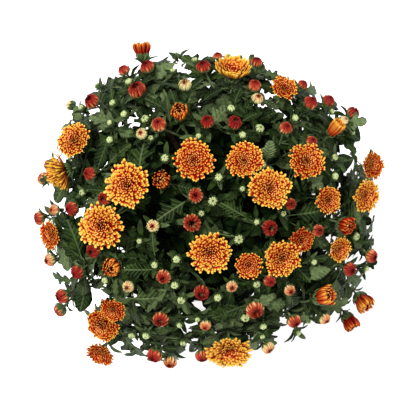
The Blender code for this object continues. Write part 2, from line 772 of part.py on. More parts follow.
def build_soil(collection):
    """Potting soil that fills the pot, mounded in the middle, with a hole for each stem."""
    gap = CLEARANCE / math.cos(math.pi / POT_SIDES)
    wall_top = POT_RIM_RADIUS - RIM_BAND_STEP - POT_WALL - gap
    foot = POT_FOOT_RADIUS - POT_WALL + pot_slope() * POT_FLOOR - 2 * gap
    profile = (
        (0.0, SOIL_LEVEL + SOIL_MOUND),
        (SOIL_SHOULDER_RADIUS, SOIL_LEVEL + SOIL_SHOULDER_SHARE * SOIL_MOUND),
        (wall_top, SOIL_LEVEL),
        (wall_top, POT_HEIGHT - RIM_BAND_HEIGHT - BAND_CHAMFER),
        (foot, POT_FLOOR + CLEARANCE),
        (0.0, POT_FLOOR + CLEARANCE),
    )
    soil = lathe("soil", profile, collection)
    cutters = new_collection("stem_cutters")
    radius = (STEM_RADIUS + CLEARANCE) / math.cos(math.pi / STEM_HOLE_SIDES)
    for direction in stem_directions():
        low = (SOIL_LEVEL - STEM_DEPTH_IN_SOIL - CLEARANCE - ROOT_CROWN.z) / direction.z
        high = (STEM_HOLE_TOP - ROOT_CROWN.z) / direction.z
        points = (ROOT_CROWN + direction * low, ROOT_CROWN + direction * high)
        mesh = tube_mesh("stem_cutter", points, (radius, radius), STEM_HOLE_SIDES)
        place("stem_cutter", mesh, cutters)
    combine(soil, cutters, "DIFFERENCE")
    shade_round(soil)
    soil.data.materials.append(material_of("soil"))


def build_leafy_stems(collection, heads):
    """One body for each stem: its branches, twigs, leaves, buds and the cups under its flowers."""
    routes = stem_routes(heads)
    route_meshes = []
    for _stem, points, radii, head in routes:
        if head is None:
            route_meshes.append(tube_mesh("main_stem", points, radii, STEM_SIDES))
        else:
            route_meshes.append(twig_mesh(points, radii, heads[head]))
    leaves, blade = leaves_of(heads, routes, route_meshes)
    for number in range(len(stem_directions())):
        helpers = new_collection("pieces_of_stem")
        for (stem, _points, _radii, head), mesh in zip(routes, route_meshes):
            if stem == number and head is None:
                body = place(f"leafy_stem_{number + 1:02d}", mesh, collection)
            elif stem == number:
                place("twig", mesh, helpers)
        for matrix, stem in leaves:
            if stem == number:
                place("leaf", blade, helpers, matrix)
        combine(body, helpers, "UNION")
        body.data.materials.append(material_of("leafy_stem"))
    print(len(leaves), "leaves,", len(heads), "heads")


def build_flowers(collection, heads):
    """Each flower is its own body, standing over the cup of its stem."""
    meshes = {
        "large": flower_mesh("large", PETALS["large"], FLOWER_RINGS, FLOWER_FOOT, FLOWER_MIDDLE, SEED),
        "small": flower_mesh("small", PETALS["small"], FLOWER_RINGS, FLOWER_FOOT, FLOWER_MIDDLE, SEED + 1),
        "opening": flower_mesh("opening", PETALS["opening"], OPENING_RINGS, OPENING_FOOT, OPENING_MIDDLE, SEED),
    }
    for i, head in enumerate(heads[: len(FLOWERS)]):
        mesh = meshes["large" if head["size"] >= LARGE_FROM else "small"].copy()
        flower = place(f"flower_{i + 1:02d}", mesh, collection, head_matrix(head))
        flower.data.materials.append(material_of("flower"))
    for i, head in enumerate(heads[len(FLOWERS) : len(FLOWERS) + len(OPENING_FLOWERS)]):
        mesh = meshes["opening"].copy()
        flower = place(f"opening_flower_{i + 1:02d}", mesh, collection, head_matrix(head))
        flower.data.materials.append(material_of("opening_flower"))


def main():
    clear_scene()
    plant = new_collection("pot_chrysanthemum")
    heads = all_heads()
    build_pot(plant)
    build_soil(plant)
    build_leafy_stems(plant, heads)
    build_flowers(plant, heads)


main()
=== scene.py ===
"""Looks of the pot chrysanthemum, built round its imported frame.

The plant is put together as it stands: camera, pot, soil, stems with their cups and green buds, leaves,
coloured buds, open flowers, half-open flowers, and last the studio.
"""
import json
import math
import random

import bmesh
import bpy
import numpy as np
from mathutils import Matrix, Vector
from mathutils.bvhtree import BVHTree

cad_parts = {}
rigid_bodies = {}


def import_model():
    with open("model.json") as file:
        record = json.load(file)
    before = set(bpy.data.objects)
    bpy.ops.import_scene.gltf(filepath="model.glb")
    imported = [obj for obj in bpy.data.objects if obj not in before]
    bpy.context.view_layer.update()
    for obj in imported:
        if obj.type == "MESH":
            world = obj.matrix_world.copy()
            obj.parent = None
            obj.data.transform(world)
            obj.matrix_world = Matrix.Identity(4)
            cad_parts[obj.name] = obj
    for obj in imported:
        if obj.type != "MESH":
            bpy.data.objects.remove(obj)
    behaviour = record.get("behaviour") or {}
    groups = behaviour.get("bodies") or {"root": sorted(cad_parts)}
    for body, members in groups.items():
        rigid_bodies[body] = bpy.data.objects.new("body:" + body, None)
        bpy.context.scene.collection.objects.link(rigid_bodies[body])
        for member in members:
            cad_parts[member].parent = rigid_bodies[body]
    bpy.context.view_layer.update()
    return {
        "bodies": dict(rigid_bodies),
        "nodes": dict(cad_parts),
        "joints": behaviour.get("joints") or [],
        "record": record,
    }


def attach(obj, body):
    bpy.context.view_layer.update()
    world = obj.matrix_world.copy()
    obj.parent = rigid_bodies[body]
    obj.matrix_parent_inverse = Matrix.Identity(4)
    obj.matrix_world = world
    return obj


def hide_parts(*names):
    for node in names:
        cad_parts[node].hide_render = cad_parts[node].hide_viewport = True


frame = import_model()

# The camera hangs straight above the plant, as it did for the photo. The plant's middle lies a little right
# of the picture's middle and above it, and a pixel is 1.05 mm at the widest level of the leaf dome.
PHOTO_SIZE = 416
PLANT_COLUMN, PLANT_ROW = 210, 204
METRES_PER_PIXEL = 0.00105
LENS_HEIGHT = 1.75
DOME_LEVEL = 0.190
SENSOR = 36

camera = bpy.data.objects.new("camera", bpy.data.cameras.new("camera"))
bpy.context.scene.collection.objects.link(camera)
camera.location = (0, 0, LENS_HEIGHT)
camera.data.sensor_width = SENSOR
camera.data.lens = SENSOR / (PHOTO_SIZE * METRES_PER_PIXEL) * (LENS_HEIGHT - DOME_LEVEL)
camera.data.shift_x = (PHOTO_SIZE / 2 - PLANT_COLUMN) / PHOTO_SIZE
camera.data.shift_y = (PLANT_ROW - PHOTO_SIZE / 2) / PHOTO_SIZE
bpy.context.scene.camera = camera


# The pot is a plain nursery pot, moulded in one piece from brown plastic. Its wall tapers to the foot, its
# rim is a thicker band with a rounded lip, and four drain holes go through its floor.
POT_HEIGHT = 0.155
POT_FOOT_RADIUS = 0.076
POT_RIM_RADIUS = 0.105
POT_WALL = 0.0024
POT_FLOOR = 0.003
RIM_BAND_HEIGHT = 0.026
RIM_BAND_STEP = 0.003
RIM_TAPER = 0.0008
LIP_RADIUS = 0.0011
BAND_FILLET = 0.001
FOOT_FILLET = 0.0012
POT_SIDES = 96
ARC_STEPS = 4
DRAIN_HOLES = 4
DRAIN_RADIUS = 0.006
DRAIN_CIRCLE = 0.052
DRAIN_SIDES = 24
DRAIN_CUTTER_LENGTH = 0.012
MERGE_DISTANCE = 0.00001
SHARP_ANGLE = math.radians(35)
# Colours here and below are linear red, green and blue, with 1 for opaque
POT_BROWN = (0.175, 0.060, 0.034, 1)
POT_DARK = (0.150, 0.050, 0.029, 1)
POT_DUST = (0.30, 0.17, 0.12, 1)
DUST_TOP = 0.030
LEAST_DUST = 0.18
# Least roughness, and what the grain and the dust add to it
POT_ROUGHNESS = (0.36, 0.25, 0.2)
# Where the patches of a mottle begin and are full, and the parts of a grain
PATCH_EDGES = (0.36, 0.64)
COARSE_SHARE, FINE_SHARE = 0.6, 0.4


def show(name, mesh):
    """Puts a mesh in the scene as an object."""
    obj = bpy.data.objects.new(name, mesh)
    bpy.context.scene.collection.objects.link(obj)
    return obj


def plain_mesh(obj):
    """Gives an object the mesh that its modifiers make, and takes them off."""
    graph = bpy.context.evaluated_depsgraph_get()
    seen = obj.evaluated_get(graph)
    mesh = bpy.data.meshes.new_from_object(seen, preserve_all_data_layers=True, depsgraph=graph)
    obj.modifiers.clear()
    obj.data = mesh
    return obj


class Value:
    """An output of a node. Arithmetic on it adds Math nodes, and an index picks another of its outputs."""

    def __init__(self, socket):
        self.socket = socket
        self.tree = socket.id_data

    def __getitem__(self, key):
        return Value(self.socket.node.outputs[key])

    def __add__(self, other):
        return calc("ADD", self, other)

    def __sub__(self, other):
        return calc("SUBTRACT", self, other)

    def __rsub__(self, other):
        return calc("SUBTRACT", other, self)

    def __mul__(self, other):
        return calc("MULTIPLY", self, other)

    def __truediv__(self, other):
        return calc("DIVIDE", self, other)

    def feeds(self, node, key):
        self.tree.links.new(self.socket, node.inputs[key])


def add(tree, kind, inputs=(), **settings):
    """A node in a tree, as its first output. Each input is a plain value, or the Value that feeds it."""
    node = tree.nodes.new(kind)
    for name, value in settings.items():
        setattr(node, name, value)
    for key, value in dict(inputs).items():
        if isinstance(value, Value):
            value.feeds(node, key)
        else:
            node.inputs[key].default_value = value
    return Value(node.outputs[0])


def calc(operation, *values):
    tree = next(value.tree for value in values if isinstance(value, Value))
    return add(tree, "ShaderNodeMath", dict(enumerate(values)), operation=operation)


def combine(x, y, z):
    return add(x.tree, "ShaderNodeCombineXYZ", {0: x, 1: y, 2: z})


def split(vector):
    """A vector's parts, as X, Y and Z."""
    return add(vector.tree, "ShaderNodeSeparateXYZ", {0: vector})


def marks(tree, name):
    """The parts of a vector that each point of the mesh holds by this name."""
    return split(add(tree, "ShaderNodeAttribute", attribute_name=name)["Vector"])


def object_place(tree):
    return add(tree, "ShaderNodeTexCoord")["Object"]


def noise_at(place, scale, detail):
    return add(place.tree, "ShaderNodeTexNoise", {"Vector": place, "Scale": scale, "Detail": detail})["Fac"]


def blend_colours(share, first, second):
    values = {0: share, 6: first, 7: second}
    return add(share.tree, "ShaderNodeMix", values, data_type="RGBA")[2]


def ramp(value, stops):
    """A colour for each place along a value, from (place, colour) stops."""
    found = add(value.tree, "ShaderNodeValToRGB", {0: value})
    elements = found.socket.node.color_ramp.elements
    for i, (place, colour) in enumerate(stops):
        stop = elements[i] if i < 2 else elements.new(place)
        stop.position = place
        stop.color = colour
    return found


def mask(value, low, high):
    """0 where a value is at low or past it, 1 at high, eased between."""
    inputs = {0: value, 1: low, 2: high}
    return add(value.tree, "ShaderNodeMapRange", inputs, interpolation_type="SMOOTHSTEP")


def new_group(kind, name, inputs, outputs):
    """A node group: its tree, its named inputs, and its group output.

    An input is given as its standard number or as the kind of its socket, and an output as its kind."""
    tree = bpy.data.node_groups.new(name, kind)
    for label, value in inputs.items():
        socket_kind = {float: "Float", int: "Int"}.get(type(value), value)
        socket = tree.interface.new_socket(label, in_out="INPUT", socket_type=f"NodeSocket{socket_kind}")
        if socket_kind != value:
            socket.default_value = value
    for label, socket_kind in outputs.items():
        tree.interface.new_socket(label, in_out="OUTPUT", socket_type=f"NodeSocket{socket_kind}")
    return tree, Value(tree.nodes.new("NodeGroupInput").outputs[0]), tree.nodes.new("NodeGroupOutput")


def new_material(name, **constants):
    """A material with one Principled BSDF, whose plain values are given here."""
    material = bpy.data.materials.new(name)
    material.use_nodes = True
    shader = material.node_tree.nodes["Principled BSDF"]
    for key, value in constants.items():
        shader.inputs[key.replace("_", " ")].default_value = value
    return material, material.node_tree, shader


def mottle_group():
    """Soft patches of two colours, as on earth, leaves and moulded plastic, with a mask of them."""
    inputs = {"Scale": 40.0, "Light": "Color", "Dark": "Color"}
    outputs = {"Colour": "Color", "Patches": "Float"}
    tree, given, result = new_group("ShaderNodeTree", "soft mottle", inputs, outputs)
    patches = mask(noise_at(object_place(tree), given["Scale"], detail=4.0), *PATCH_EDGES)
    patches.feeds(result, "Patches")
    blend_colours(patches, given["Dark"], given["Light"]).feeds(result, "Colour")
    return tree


def grain_group():
    """A fine grain: its height feeds a Bump node, and can change the roughness."""
    inputs = {"Scale": 900.0, "Coarse scale": 120.0}
    tree, given, result = new_group("ShaderNodeTree", "fine grain", inputs, {"Height": "Float"})
    place = object_place(tree)
    fine = noise_at(place, given["Scale"], detail=2.0)
    coarse = noise_at(place, given["Coarse scale"], detail=3.0)
    (coarse * COARSE_SHARE + fine * FINE_SHARE).feeds(result, "Height")
    return tree


soft_mottle = mottle_group()
fine_grain = grain_group()


def use_group(tree, group, **inputs):
    """A shader group in a tree, with its inputs named here."""
    values = {key.replace("_", " "): value for key, value in inputs.items()}
    return add(tree, "ShaderNodeGroup", values, node_tree=group)


def dress(shader, colour, height, metres):
    """Feeds a shader its colour, and bumps from a height field that is this many metres high."""
    colour.feeds(shader, "Base Color")
    values = {"Height": height, "Distance": metres, "Strength": 1.0}
    add(colour.tree, "ShaderNodeBump", values).feeds(shader, "Normal")


def pot_material():
    material, tree, shader = new_material("brown moulded plastic", Roughness=0.5)
    mottle = use_group(tree, soft_mottle, Scale=22.0, Light=POT_BROWN, Dark=POT_DARK)
    low = mask(split(object_place(tree))["Z"], DUST_TOP, 0.0)
    dusty = calc("MAXIMUM", low, LEAST_DUST) * mottle["Patches"]
    grain = use_group(tree, fine_grain, Scale=1500.0, Coarse_scale=240.0)["Height"]
    least, by_grain, by_dust = POT_ROUGHNESS
    (dusty * by_dust + (grain * by_grain + least)).feeds(shader, "Roughness")
    dress(shader, blend_colours(dusty, mottle["Colour"], POT_DUST), grain, metres=0.00012)
    return material


def rounded(corner, before, after, radius):
    """Points of a small arc that rounds off a profile's corner between its two neighbours."""
    corner, before, after = Vector(corner), Vector(before), Vector(after)
    first = corner + (before - corner).normalized() * radius
    last = corner + (after - corner).normalized() * radius
    points = []
    for i in range(ARC_STEPS + 1):
        share = i / ARC_STEPS
        points.append(first.lerp(corner, share).lerp(corner.lerp(last, share), share))
    return [tuple(point) for point in points]


def pot_profile():
    """Radius and height, from the floor's middle up the inside and down the outside to the foot's middle."""
    slope = (POT_RIM_RADIUS - RIM_BAND_STEP - POT_FOOT_RADIUS) / (POT_HEIGHT - RIM_BAND_HEIGHT)
    band_low = POT_HEIGHT - RIM_BAND_HEIGHT
    under_band = POT_RIM_RADIUS - RIM_BAND_STEP
    corners = (
        ((0.0, POT_FLOOR), 0),
        ((POT_FOOT_RADIUS - POT_WALL + slope * POT_FLOOR, POT_FLOOR), FOOT_FILLET),
        ((under_band - POT_WALL, band_low), BAND_FILLET),
        ((under_band - POT_WALL + RIM_TAPER, POT_HEIGHT), LIP_RADIUS),
        ((POT_RIM_RADIUS, POT_HEIGHT), LIP_RADIUS),
        ((POT_RIM_RADIUS - RIM_TAPER, band_low), BAND_FILLET),
        ((under_band, band_low - BAND_FILLET), BAND_FILLET / 2),
        ((POT_FOOT_RADIUS, 0.0), FOOT_FILLET),
        ((0.0, 0.0), 0),
    )
    profile = []
    for i, (corner, radius) in enumerate(corners):
        if radius == 0:
            profile.append(corner)
        else:
            profile += rounded(corner, corners[i - 1][0], corners[i + 1][0], radius)
    return profile


profile = [(radius, 0.0, height) for radius, height in pot_profile()]
pot_mesh = bpy.data.meshes.new("pot_body")
pot_mesh.from_pydata(profile, [(i, i + 1) for i in range(len(profile) - 1)], [])
pot = show("pot_body", pot_mesh)
turn = pot.modifiers.new("turn", "SCREW")
turn.steps = turn.render_steps = POT_SIDES
turn.use_merge_vertices = True
turn.merge_threshold = MERGE_DISTANCE
plain_mesh(pot)
for i in range(DRAIN_HOLES):
    angle = 2 * math.pi * (i + 0.5) / DRAIN_HOLES
    spot = Matrix.Translation((DRAIN_CIRCLE * math.cos(angle), DRAIN_CIRCLE * math.sin(angle), POT_FLOOR / 2))
    bm = bmesh.new()
    sizes = {"radius1": DRAIN_RADIUS, "radius2": DRAIN_RADIUS, "depth": DRAIN_CUTTER_LENGTH}
    bmesh.ops.create_cone(bm, cap_ends=True, segments=DRAIN_SIDES, matrix=spot, **sizes)
    cutter = show("drain_cutter", bpy.data.meshes.new("drain_cutter"))
    bm.to_mesh(cutter.data)
    bm.free()
    cut = pot.modifiers.new("cut", "BOOLEAN")
    cut.operation = "DIFFERENCE"
    cut.object = cutter
    plain_mesh(pot)
    bpy.data.objects.remove(cutter, do_unlink=True)
pot.data.materials.clear()
pot.data.materials.append(pot_material())
pot.data.shade_smooth()
pot.data.set_sharp_from_angle(angle=SHARP_ANGLE)
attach(pot, "root")
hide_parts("pot")


# The soil is a dark mix of peat, bark and a little white perlite, pressed in by hand. Its body is the packed
# solid, which keeps a hole for each stem, and loose crumbs lie on it.
SOIL_LEVEL = 0.134
SOIL_BROWN = (0.026, 0.016, 0.010, 1)
SOIL_BLACK = (0.010, 0.007, 0.005, 1)
PERLITE = (0.55, 0.53, 0.48, 1)
PERLITE_SHARE = 0.06
CRUMB_SPACING = 0.0042
CRUMB_SMALLEST, CRUMB_LARGEST = 0.0008, 0.0030
CRUMB_SHAPES = 4
CRUMB_BUMPS = (0.7, 1.15)
CRUMB_FLATNESS = 0.7
CRUMB_LONGER = 0.5
CRUMB_DENSITY = 90000.0
CRUMB_DEPTH = 0.001
CRUMB_STEEPEST = 0.5
CRUMB_SEED = 5


def soil_material():
    material, tree, shader = new_material("potting soil", Roughness=0.95, Specular_IOR_Level=0.1)
    mottle = use_group(tree, soft_mottle, Scale=160.0, Light=SOIL_BROWN, Dark=SOIL_BLACK)
    white = add(tree, "ShaderNodeAttribute", attribute_name="perlite")["Fac"]
    grain = use_group(tree, fine_grain, Scale=1400.0, Coarse_scale=420.0)
    dress(shader, blend_colours(white, mottle["Colour"], PERLITE), grain, metres=0.0015)
    return material


def crumb_mesh(number):
    """One lump of bark or peat, from a ball of a few faces with its points pushed about."""
    chance = random.Random(number)
    bm = bmesh.new()
    bmesh.ops.create_icosphere(bm, subdivisions=1, radius=0.5)
    for vertex in bm.verts:
        vertex.co *= chance.uniform(*CRUMB_BUMPS)
        vertex.co.z *= CRUMB_FLATNESS
        vertex.co.x *= 1 + CRUMB_LONGER * (number % 2)
    mesh = bpy.data.meshes.new(f"crumb_{number}")
    bm.to_mesh(mesh)
    bm.free()
    return mesh


def random_value(low, high, seed):
    return add(seed.tree, "FunctionNodeRandomValue", {2: low, 3: high, "Seed": seed})[1]


def shapes_in(collection):
    """The shapes of a collection, for a tree's points to pick from."""
    values = {"Collection": collection, "Separate Children": True, "Reset Children": True}
    return add(collection.tree, "GeometryNodeCollectionInfo", values)


def stored(points, name, value, data_type="FLOAT"):
    """Points that also hold a value by this name."""
    values = {"Geometry": points, "Name": name, "Value": value}
    return add(points.tree, "GeometryNodeStoreNamedAttribute", values, data_type=data_type)


def finish_tree(shapes, material, result):
    """Ends a geometry tree in real, dressed faces."""
    real = add(shapes.tree, "GeometryNodeRealizeInstances", {0: shapes})
    add(shapes.tree, "GeometryNodeSetMaterial", {0: real, "Material": material}).feeds(result, 0)


def crumb_tree():
    """Scatters lumps over the upward faces of a body."""
    inputs = {
        "Surface": "Geometry",
        "Lumps": "Collection",
        "Spacing": CRUMB_SPACING,
        "Smallest": CRUMB_SMALLEST,
        "Largest": CRUMB_LARGEST,
        "White share": PERLITE_SHARE,
        "Lowest": SOIL_LEVEL - CRUMB_DEPTH,
        "Seed": CRUMB_SEED,
        "Material": "Material",
    }
    tree, given, result = new_group("GeometryNodeTree", "soil crumbs", inputs, {"Crumbs": "Geometry"})
    seed = given["Seed"]
    high = calc("GREATER_THAN", split(add(tree, "GeometryNodeInputPosition"))["Z"], given["Lowest"])
    upward = calc("GREATER_THAN", split(add(tree, "GeometryNodeInputNormal"))["Z"], CRUMB_STEEPEST) * high
    values = {"Mesh": given["Surface"], "Selection": upward, "Distance Min": given["Spacing"]}
    values |= {"Seed": seed, "Density Max": CRUMB_DENSITY}
    scatter = add(tree, "GeometryNodeDistributePointsOnFaces", values, distribute_method="POISSON")
    values = {0: (0, 0, 0), 1: (2 * math.pi,) * 3, "Seed": seed}
    turned = add(tree, "FunctionNodeRandomValue", values, data_type="FLOAT_VECTOR")
    pale = calc("LESS_THAN", random_value(0.0, 1.0, seed), given["White share"])
    values = {"Points": stored(scatter, "perlite", pale), "Instance": shapes_in(given["Lumps"])}
    values |= {"Pick Instance": True, "Rotation": turned}
    values |= {"Scale": random_value(given["Smallest"], given["Largest"], seed)}
    finish_tree(add(tree, "GeometryNodeInstanceOnPoints", values), given["Material"], result)
    return tree


def grow(name, tree, guide, values):
    """Runs a geometry tree on a guide mesh with its named inputs, and keeps what it makes as a plain mesh."""
    obj = show(name, guide)
    modifier = obj.modifiers.new("grow", "NODES")
    modifier.node_group = tree
    sockets = {item.name: item.identifier for item in tree.interface.items_tree if item.in_out == "INPUT"}
    for key, value in values.items():
        modifier[sockets[key]] = value
    return plain_mesh(obj)


def shapes_collection(name, meshes):
    """A collection of shapes for a tree to pick from, in their order."""
    made = bpy.data.collections.new(name)
    bpy.context.scene.collection.children.link(made)
    for i, mesh in enumerate(meshes):
        made.objects.link(bpy.data.objects.new(f"{name}_{i:02d}", mesh))
    return made


def drop_collection(made):
    for obj in list(made.objects):
        bpy.data.objects.remove(obj, do_unlink=True)
    bpy.data.collections.remove(made)


soil_finish = soil_material()
soil = frame["nodes"]["soil"]
soil.data.materials.clear()
soil.data.materials.append(soil_finish)
lumps = shapes_collection("crumb", [crumb_mesh(i) for i in range(CRUMB_SHAPES)])
crumbs = grow("soil_crumbs", crumb_tree(), soil.data.copy(), {"Lumps": lumps, "Material": soil_finish})
drop_collection(lumps)
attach(crumbs, "root")


# Stems: fifteen stems leave the soil through their own holes, fork, and end in a flower or a bud on every
# twig. The young growth is green, and the oldest wood at the base is brown.
ROOT_CROWN = Vector((0.0, 0.0, 0.090))
# The leaf dome: its height over and under its widest level, and its radius every 30 degrees from east
DOME_RISE = 0.158
DOME_SKIRT = 0.062
CANOPY_REACH = (0.181, 0.182, 0.165, 0.160, 0.174, 0.183, 0.183, 0.190, 0.190, 0.167, 0.170, 0.192)
# Rings of stems: how many, how far they lean and where the first one stands, in degrees
STEM_RINGS = ((1, 0, 0), (5, 27, 15), (9, 51, 0))
STEM_DEPTH_IN_SOIL = 0.026
STEM_RADIUS = 0.0034
FORK_RADIUS = 0.0028
SPRAY_RADIUS = 0.0019
TWIG_RADIUS = 0.0012
NECK_RADIUS = 0.0011
NECK_LENGTH = 0.013
FORK_SHARE = 0.60
FORK_STEP = 0.005
SPRAY_SHARE = 0.79
LOWEST_SPRAY = 0.168
TWIG_STEP = 0.0055
SUNK = 0.001
SPRAY_HEADS = 4
STRAIGHT_TWIG = 0.80
MM = 0.001
# Heads, as the lens sees them at the dome's widest level: mm east and north of the plant's middle and size
# in mm, then the share of the dome's height that they stand at and, where it isn't the dome's slope, lean and
# bearing.
FLOWERS = (
    (-142, 67, 38, 1.00, 34, 150),
    (-156, 34, 38, 0.93, 86, 196),
    (-87, 20, 46, 1.00, 18, 160),
    (-17, 46, 41, 1.00, 14, 90),
    (-114, -23, 48, 1.00, 22, 200),
    (24, 138, 40, 1.00, 52, 85),
    (78, 122, 28, 0.99, 32, 75),
    (36, 45, 37, 1.00, 12, 60),
    (101, 45, 38, 1.00, 20, 30),
    (63, 16, 42, 1.01, 12, 0),
    (129, 77, 26, 0.98, 60, 50),
    (169, 41, 28, 0.98, 38, 0),
    (162, 9, 31, 0.98, 34, 340),
    (124, 4, 28, 0.97, 22, 340),
    (-166, -32, 28, 0.98, 46, 190),
    (-102, -111, 26, 1.05, 30, 240),
    (-112, -127, 38, 0.97, 32, 236),
    (-114, -156, 30, 0.98, 44, 242),
    (0, -51, 42, 1.00, 16, 255),
    (41, -64, 27, 0.97, 14, 280),
    (76, -57, 38, 1.01, 20, 300),
    (96, -38, 26, 0.94, 24, 320),
    (135, -47, 25, 0.98, 36, 335),
    (20, -152, 44, 1.00, 44, 272),
)
OPENING_FLOWERS = (
    (120, -97, 22, 0.99, 50, 20),
    (161, -103, 22, 0.99, 60, 310),
    (147, -124, 20, 0.97, 74, 300),
    (-71, 162, 20, 0.97, 84, 95),
    (-32, 96, 19, 0.99, 22, 100),
    (-50, 25, 18, 0.97, None, None),
    (-102, -66, 19, 0.98, 26, 215),
    (143, -22, 18, 0.97, 40, 340),
)
BUD_SHARE = 0.985
COLOURED_BUDS = (
    (-54, 84, 16), (-77, 120, 16), (-91, 141, 13), (-66, 144, 13), (-124, 108, 14), (-147, 104, 12),
    (-7, 144, 13), (-3, 87, 14), (-127, 32, 14), (-111, 6, 14), (-170, 41, 13, 0.95), (-176, 27, 14, 0.97),
    (-146, -5, 15), (-164, -6, 12), (-180, -15, 14), (-15, 9, 15), (8, 156, 10), (49, 149, 11),
    (47, 125, 14), (26, 86, 14), (80, 80, 14), (98, 126, 11), (106, 107, 15), (125, 109, 14), (151, 96, 14),
    (107, 66, 12), (85, 0, 12), (-19, -20, 16), (-123, -49, 15), (-169, -59, 13), (-140, -72, 15),
    (-156, -97, 16), (-158, -112, 15), (-49, -77, 15), (-9, -93, 14), (-52, -121, 14), (-59, -160, 16),
    (-42, -166, 13), (-5, -128, 12), (-8, -160, 15), (63, -25, 14), (114, -28, 12), (170, -55, 14),
    (147, -69, 14), (63, -81, 13), (23, -87, 12), (84, -91, 12), (47, -111, 16), (89, -124, 15),
    (121, -121, 12), (61, -151, 12), (-26, 125, 12), (-72, 74, 12), (50, 111, 12), (141, 88, 10),
    (-60, -23, 13), (-86, -87, 12),
)
GREEN_BUD_SHARE = 0.955
GREEN_BUDS = (
    (-36, 156, 10), (-118, 124, 9), (-85, 128, 10), (-102, 106, 9), (-90, 94, 10), (-68, 89, 10),
    (-105, 85, 8), (-105, 67, 10), (-47, 48, 10), (-16, 151, 8), (-135, 101, 8), (-134, 12, 8),
    (-12, 71, 8), (-39, 140, 7), (-62, 69, 7), (3, 3, 11), (19, 155, 9), (22, 100, 10), (34, 72, 10),
    (52, 79, 11), (89, 90, 10), (149, 75, 9), (128, 97, 7), (55, 41, 10), (131, 49, 8), (131, 29, 10),
    (9, 28, 11), (34, 16, 7), (-110, -80, 9), (-58, -64, 9), (-35, -58, 10), (-37, -85, 10),
    (-30, -101, 10), (-9, -10, 7), (-74, -39, 7), (-82, -138, 9), (-67, -138, 10), (-28, -146, 8),
    (-13, -121, 7), (-32, -127, 8), (153, -34, 10), (164, -68, 8), (30, -37, 11), (49, -19, 8),
    (49, -84, 9), (8, -98, 10), (37, -119, 11), (56, -128, 10), (92, -135, 10), (103, -123, 8),
    (109, -61, 8), (77, -10, 7), (55, -139, 7),
)
LOWEST_HEAD = 0.172
HALVINGS = 24
LEAN_SHARE = 0.80
LEAN_WOBBLE = 5.0
BEARING_WOBBLE = 12.0
# How far a head's foot lies below its middle, in shares of its size
FOOT_SHARE = {"flower": 0.30, "opening": 0.62, "coloured": 0.50, "green": 0.42}
SEED = 41
TWIG_SIDES = 6
BEND_RADIUS = 0.009
BEND_STEPS = 4
STEM_GREEN = (0.110, 0.155, 0.062, 1)
STEM_DARK = (0.045, 0.072, 0.022, 1)
STEM_BROWN = (0.070, 0.042, 0.024, 1)
WOOD_BELOW, GREEN_ABOVE = 0.150, 0.200


def canopy_reach(azimuth):
    """The dome's radius in a direction, eased between the values given round it."""
    count = len(CANOPY_REACH)
    step = azimuth / (2 * math.pi) * count % count
    low = int(step) % count
    share = step - int(step)
    share = share * share * (3 - 2 * share)
    return CANOPY_REACH[low] * (1 - share) + CANOPY_REACH[(low + 1) % count] * share


def dome_reach(direction):
    """How far the dome's skin lies from its middle in a direction."""
    radius = canopy_reach(math.atan2(direction.y, direction.x))
    rise = DOME_RISE if direction.z >= 0 else DOME_SKIRT
    return 1 / math.hypot(math.hypot(direction.x, direction.y) / radius, direction.z / rise)


def crown_reach(direction):
    """How far the dome's skin lies from the root crown in a direction."""
    across = math.hypot(direction.x, direction.y)
    radius = canopy_reach(math.atan2(direction.y, direction.x))
    drop = ROOT_CROWN.z - DOME_LEVEL
    for rise in (DOME_RISE, DOME_SKIRT):
        a = (across / radius) ** 2 + (direction.z / rise) ** 2
        b = direction.z * drop / rise**2
        c = (drop / rise) ** 2 - 1
        distance = (-b + math.sqrt(max(b * b - a * c, 0.0))) / a
        if ROOT_CROWN.z + distance * direction.z >= DOME_LEVEL:
            break
    return distance


def direction_of(polar, azimuth):
    return Vector((math.sin(polar) * math.cos(azimuth), math.sin(polar) * math.sin(azimuth), math.cos(polar)))


def dome_slope(point, lean_share):
    """The dome's outward slope at a point near its skin, with its lean cut to a share."""
    radius = canopy_reach(math.atan2(point.y, point.x))
    rise = DOME_RISE if point.z >= DOME_LEVEL else DOME_SKIRT
    slope = Vector((point.x / radius**2, point.y / radius**2, (point.z - DOME_LEVEL) / rise**2)).normalized()
    return direction_of(math.acos(slope.z) * lean_share, math.atan2(slope.y, slope.x))


def stem_directions():
    found = []
    for count, lean, bearing in STEM_RINGS:
        for i in range(count):
            found.append(direction_of(math.radians(lean), math.radians(bearing + 360 * i / count)))
    return found


def nearest_stem(point, directions):
    away = (point - ROOT_CROWN).normalized()
    return max(range(len(directions)), key=lambda i: away.dot(directions[i]))


def settle(east, north, share):
    """The point that the lens sees here on the dome, drawn in to a share of its reach."""

    def at(height):
        nearer = (LENS_HEIGHT - height) / (LENS_HEIGHT - DOME_LEVEL)
        return Vector((east * nearer, north * nearer, height))

    low, high = LOWEST_HEAD, DOME_LEVEL + DOME_RISE
    for _ in range(HALVINGS):
        middle = (low + high) / 2
        away = at(middle) - ROOT_CROWN
        if away.length < share * crown_reach(away.normalized()):
            low = middle
        else:
            high = middle
    return at(low)


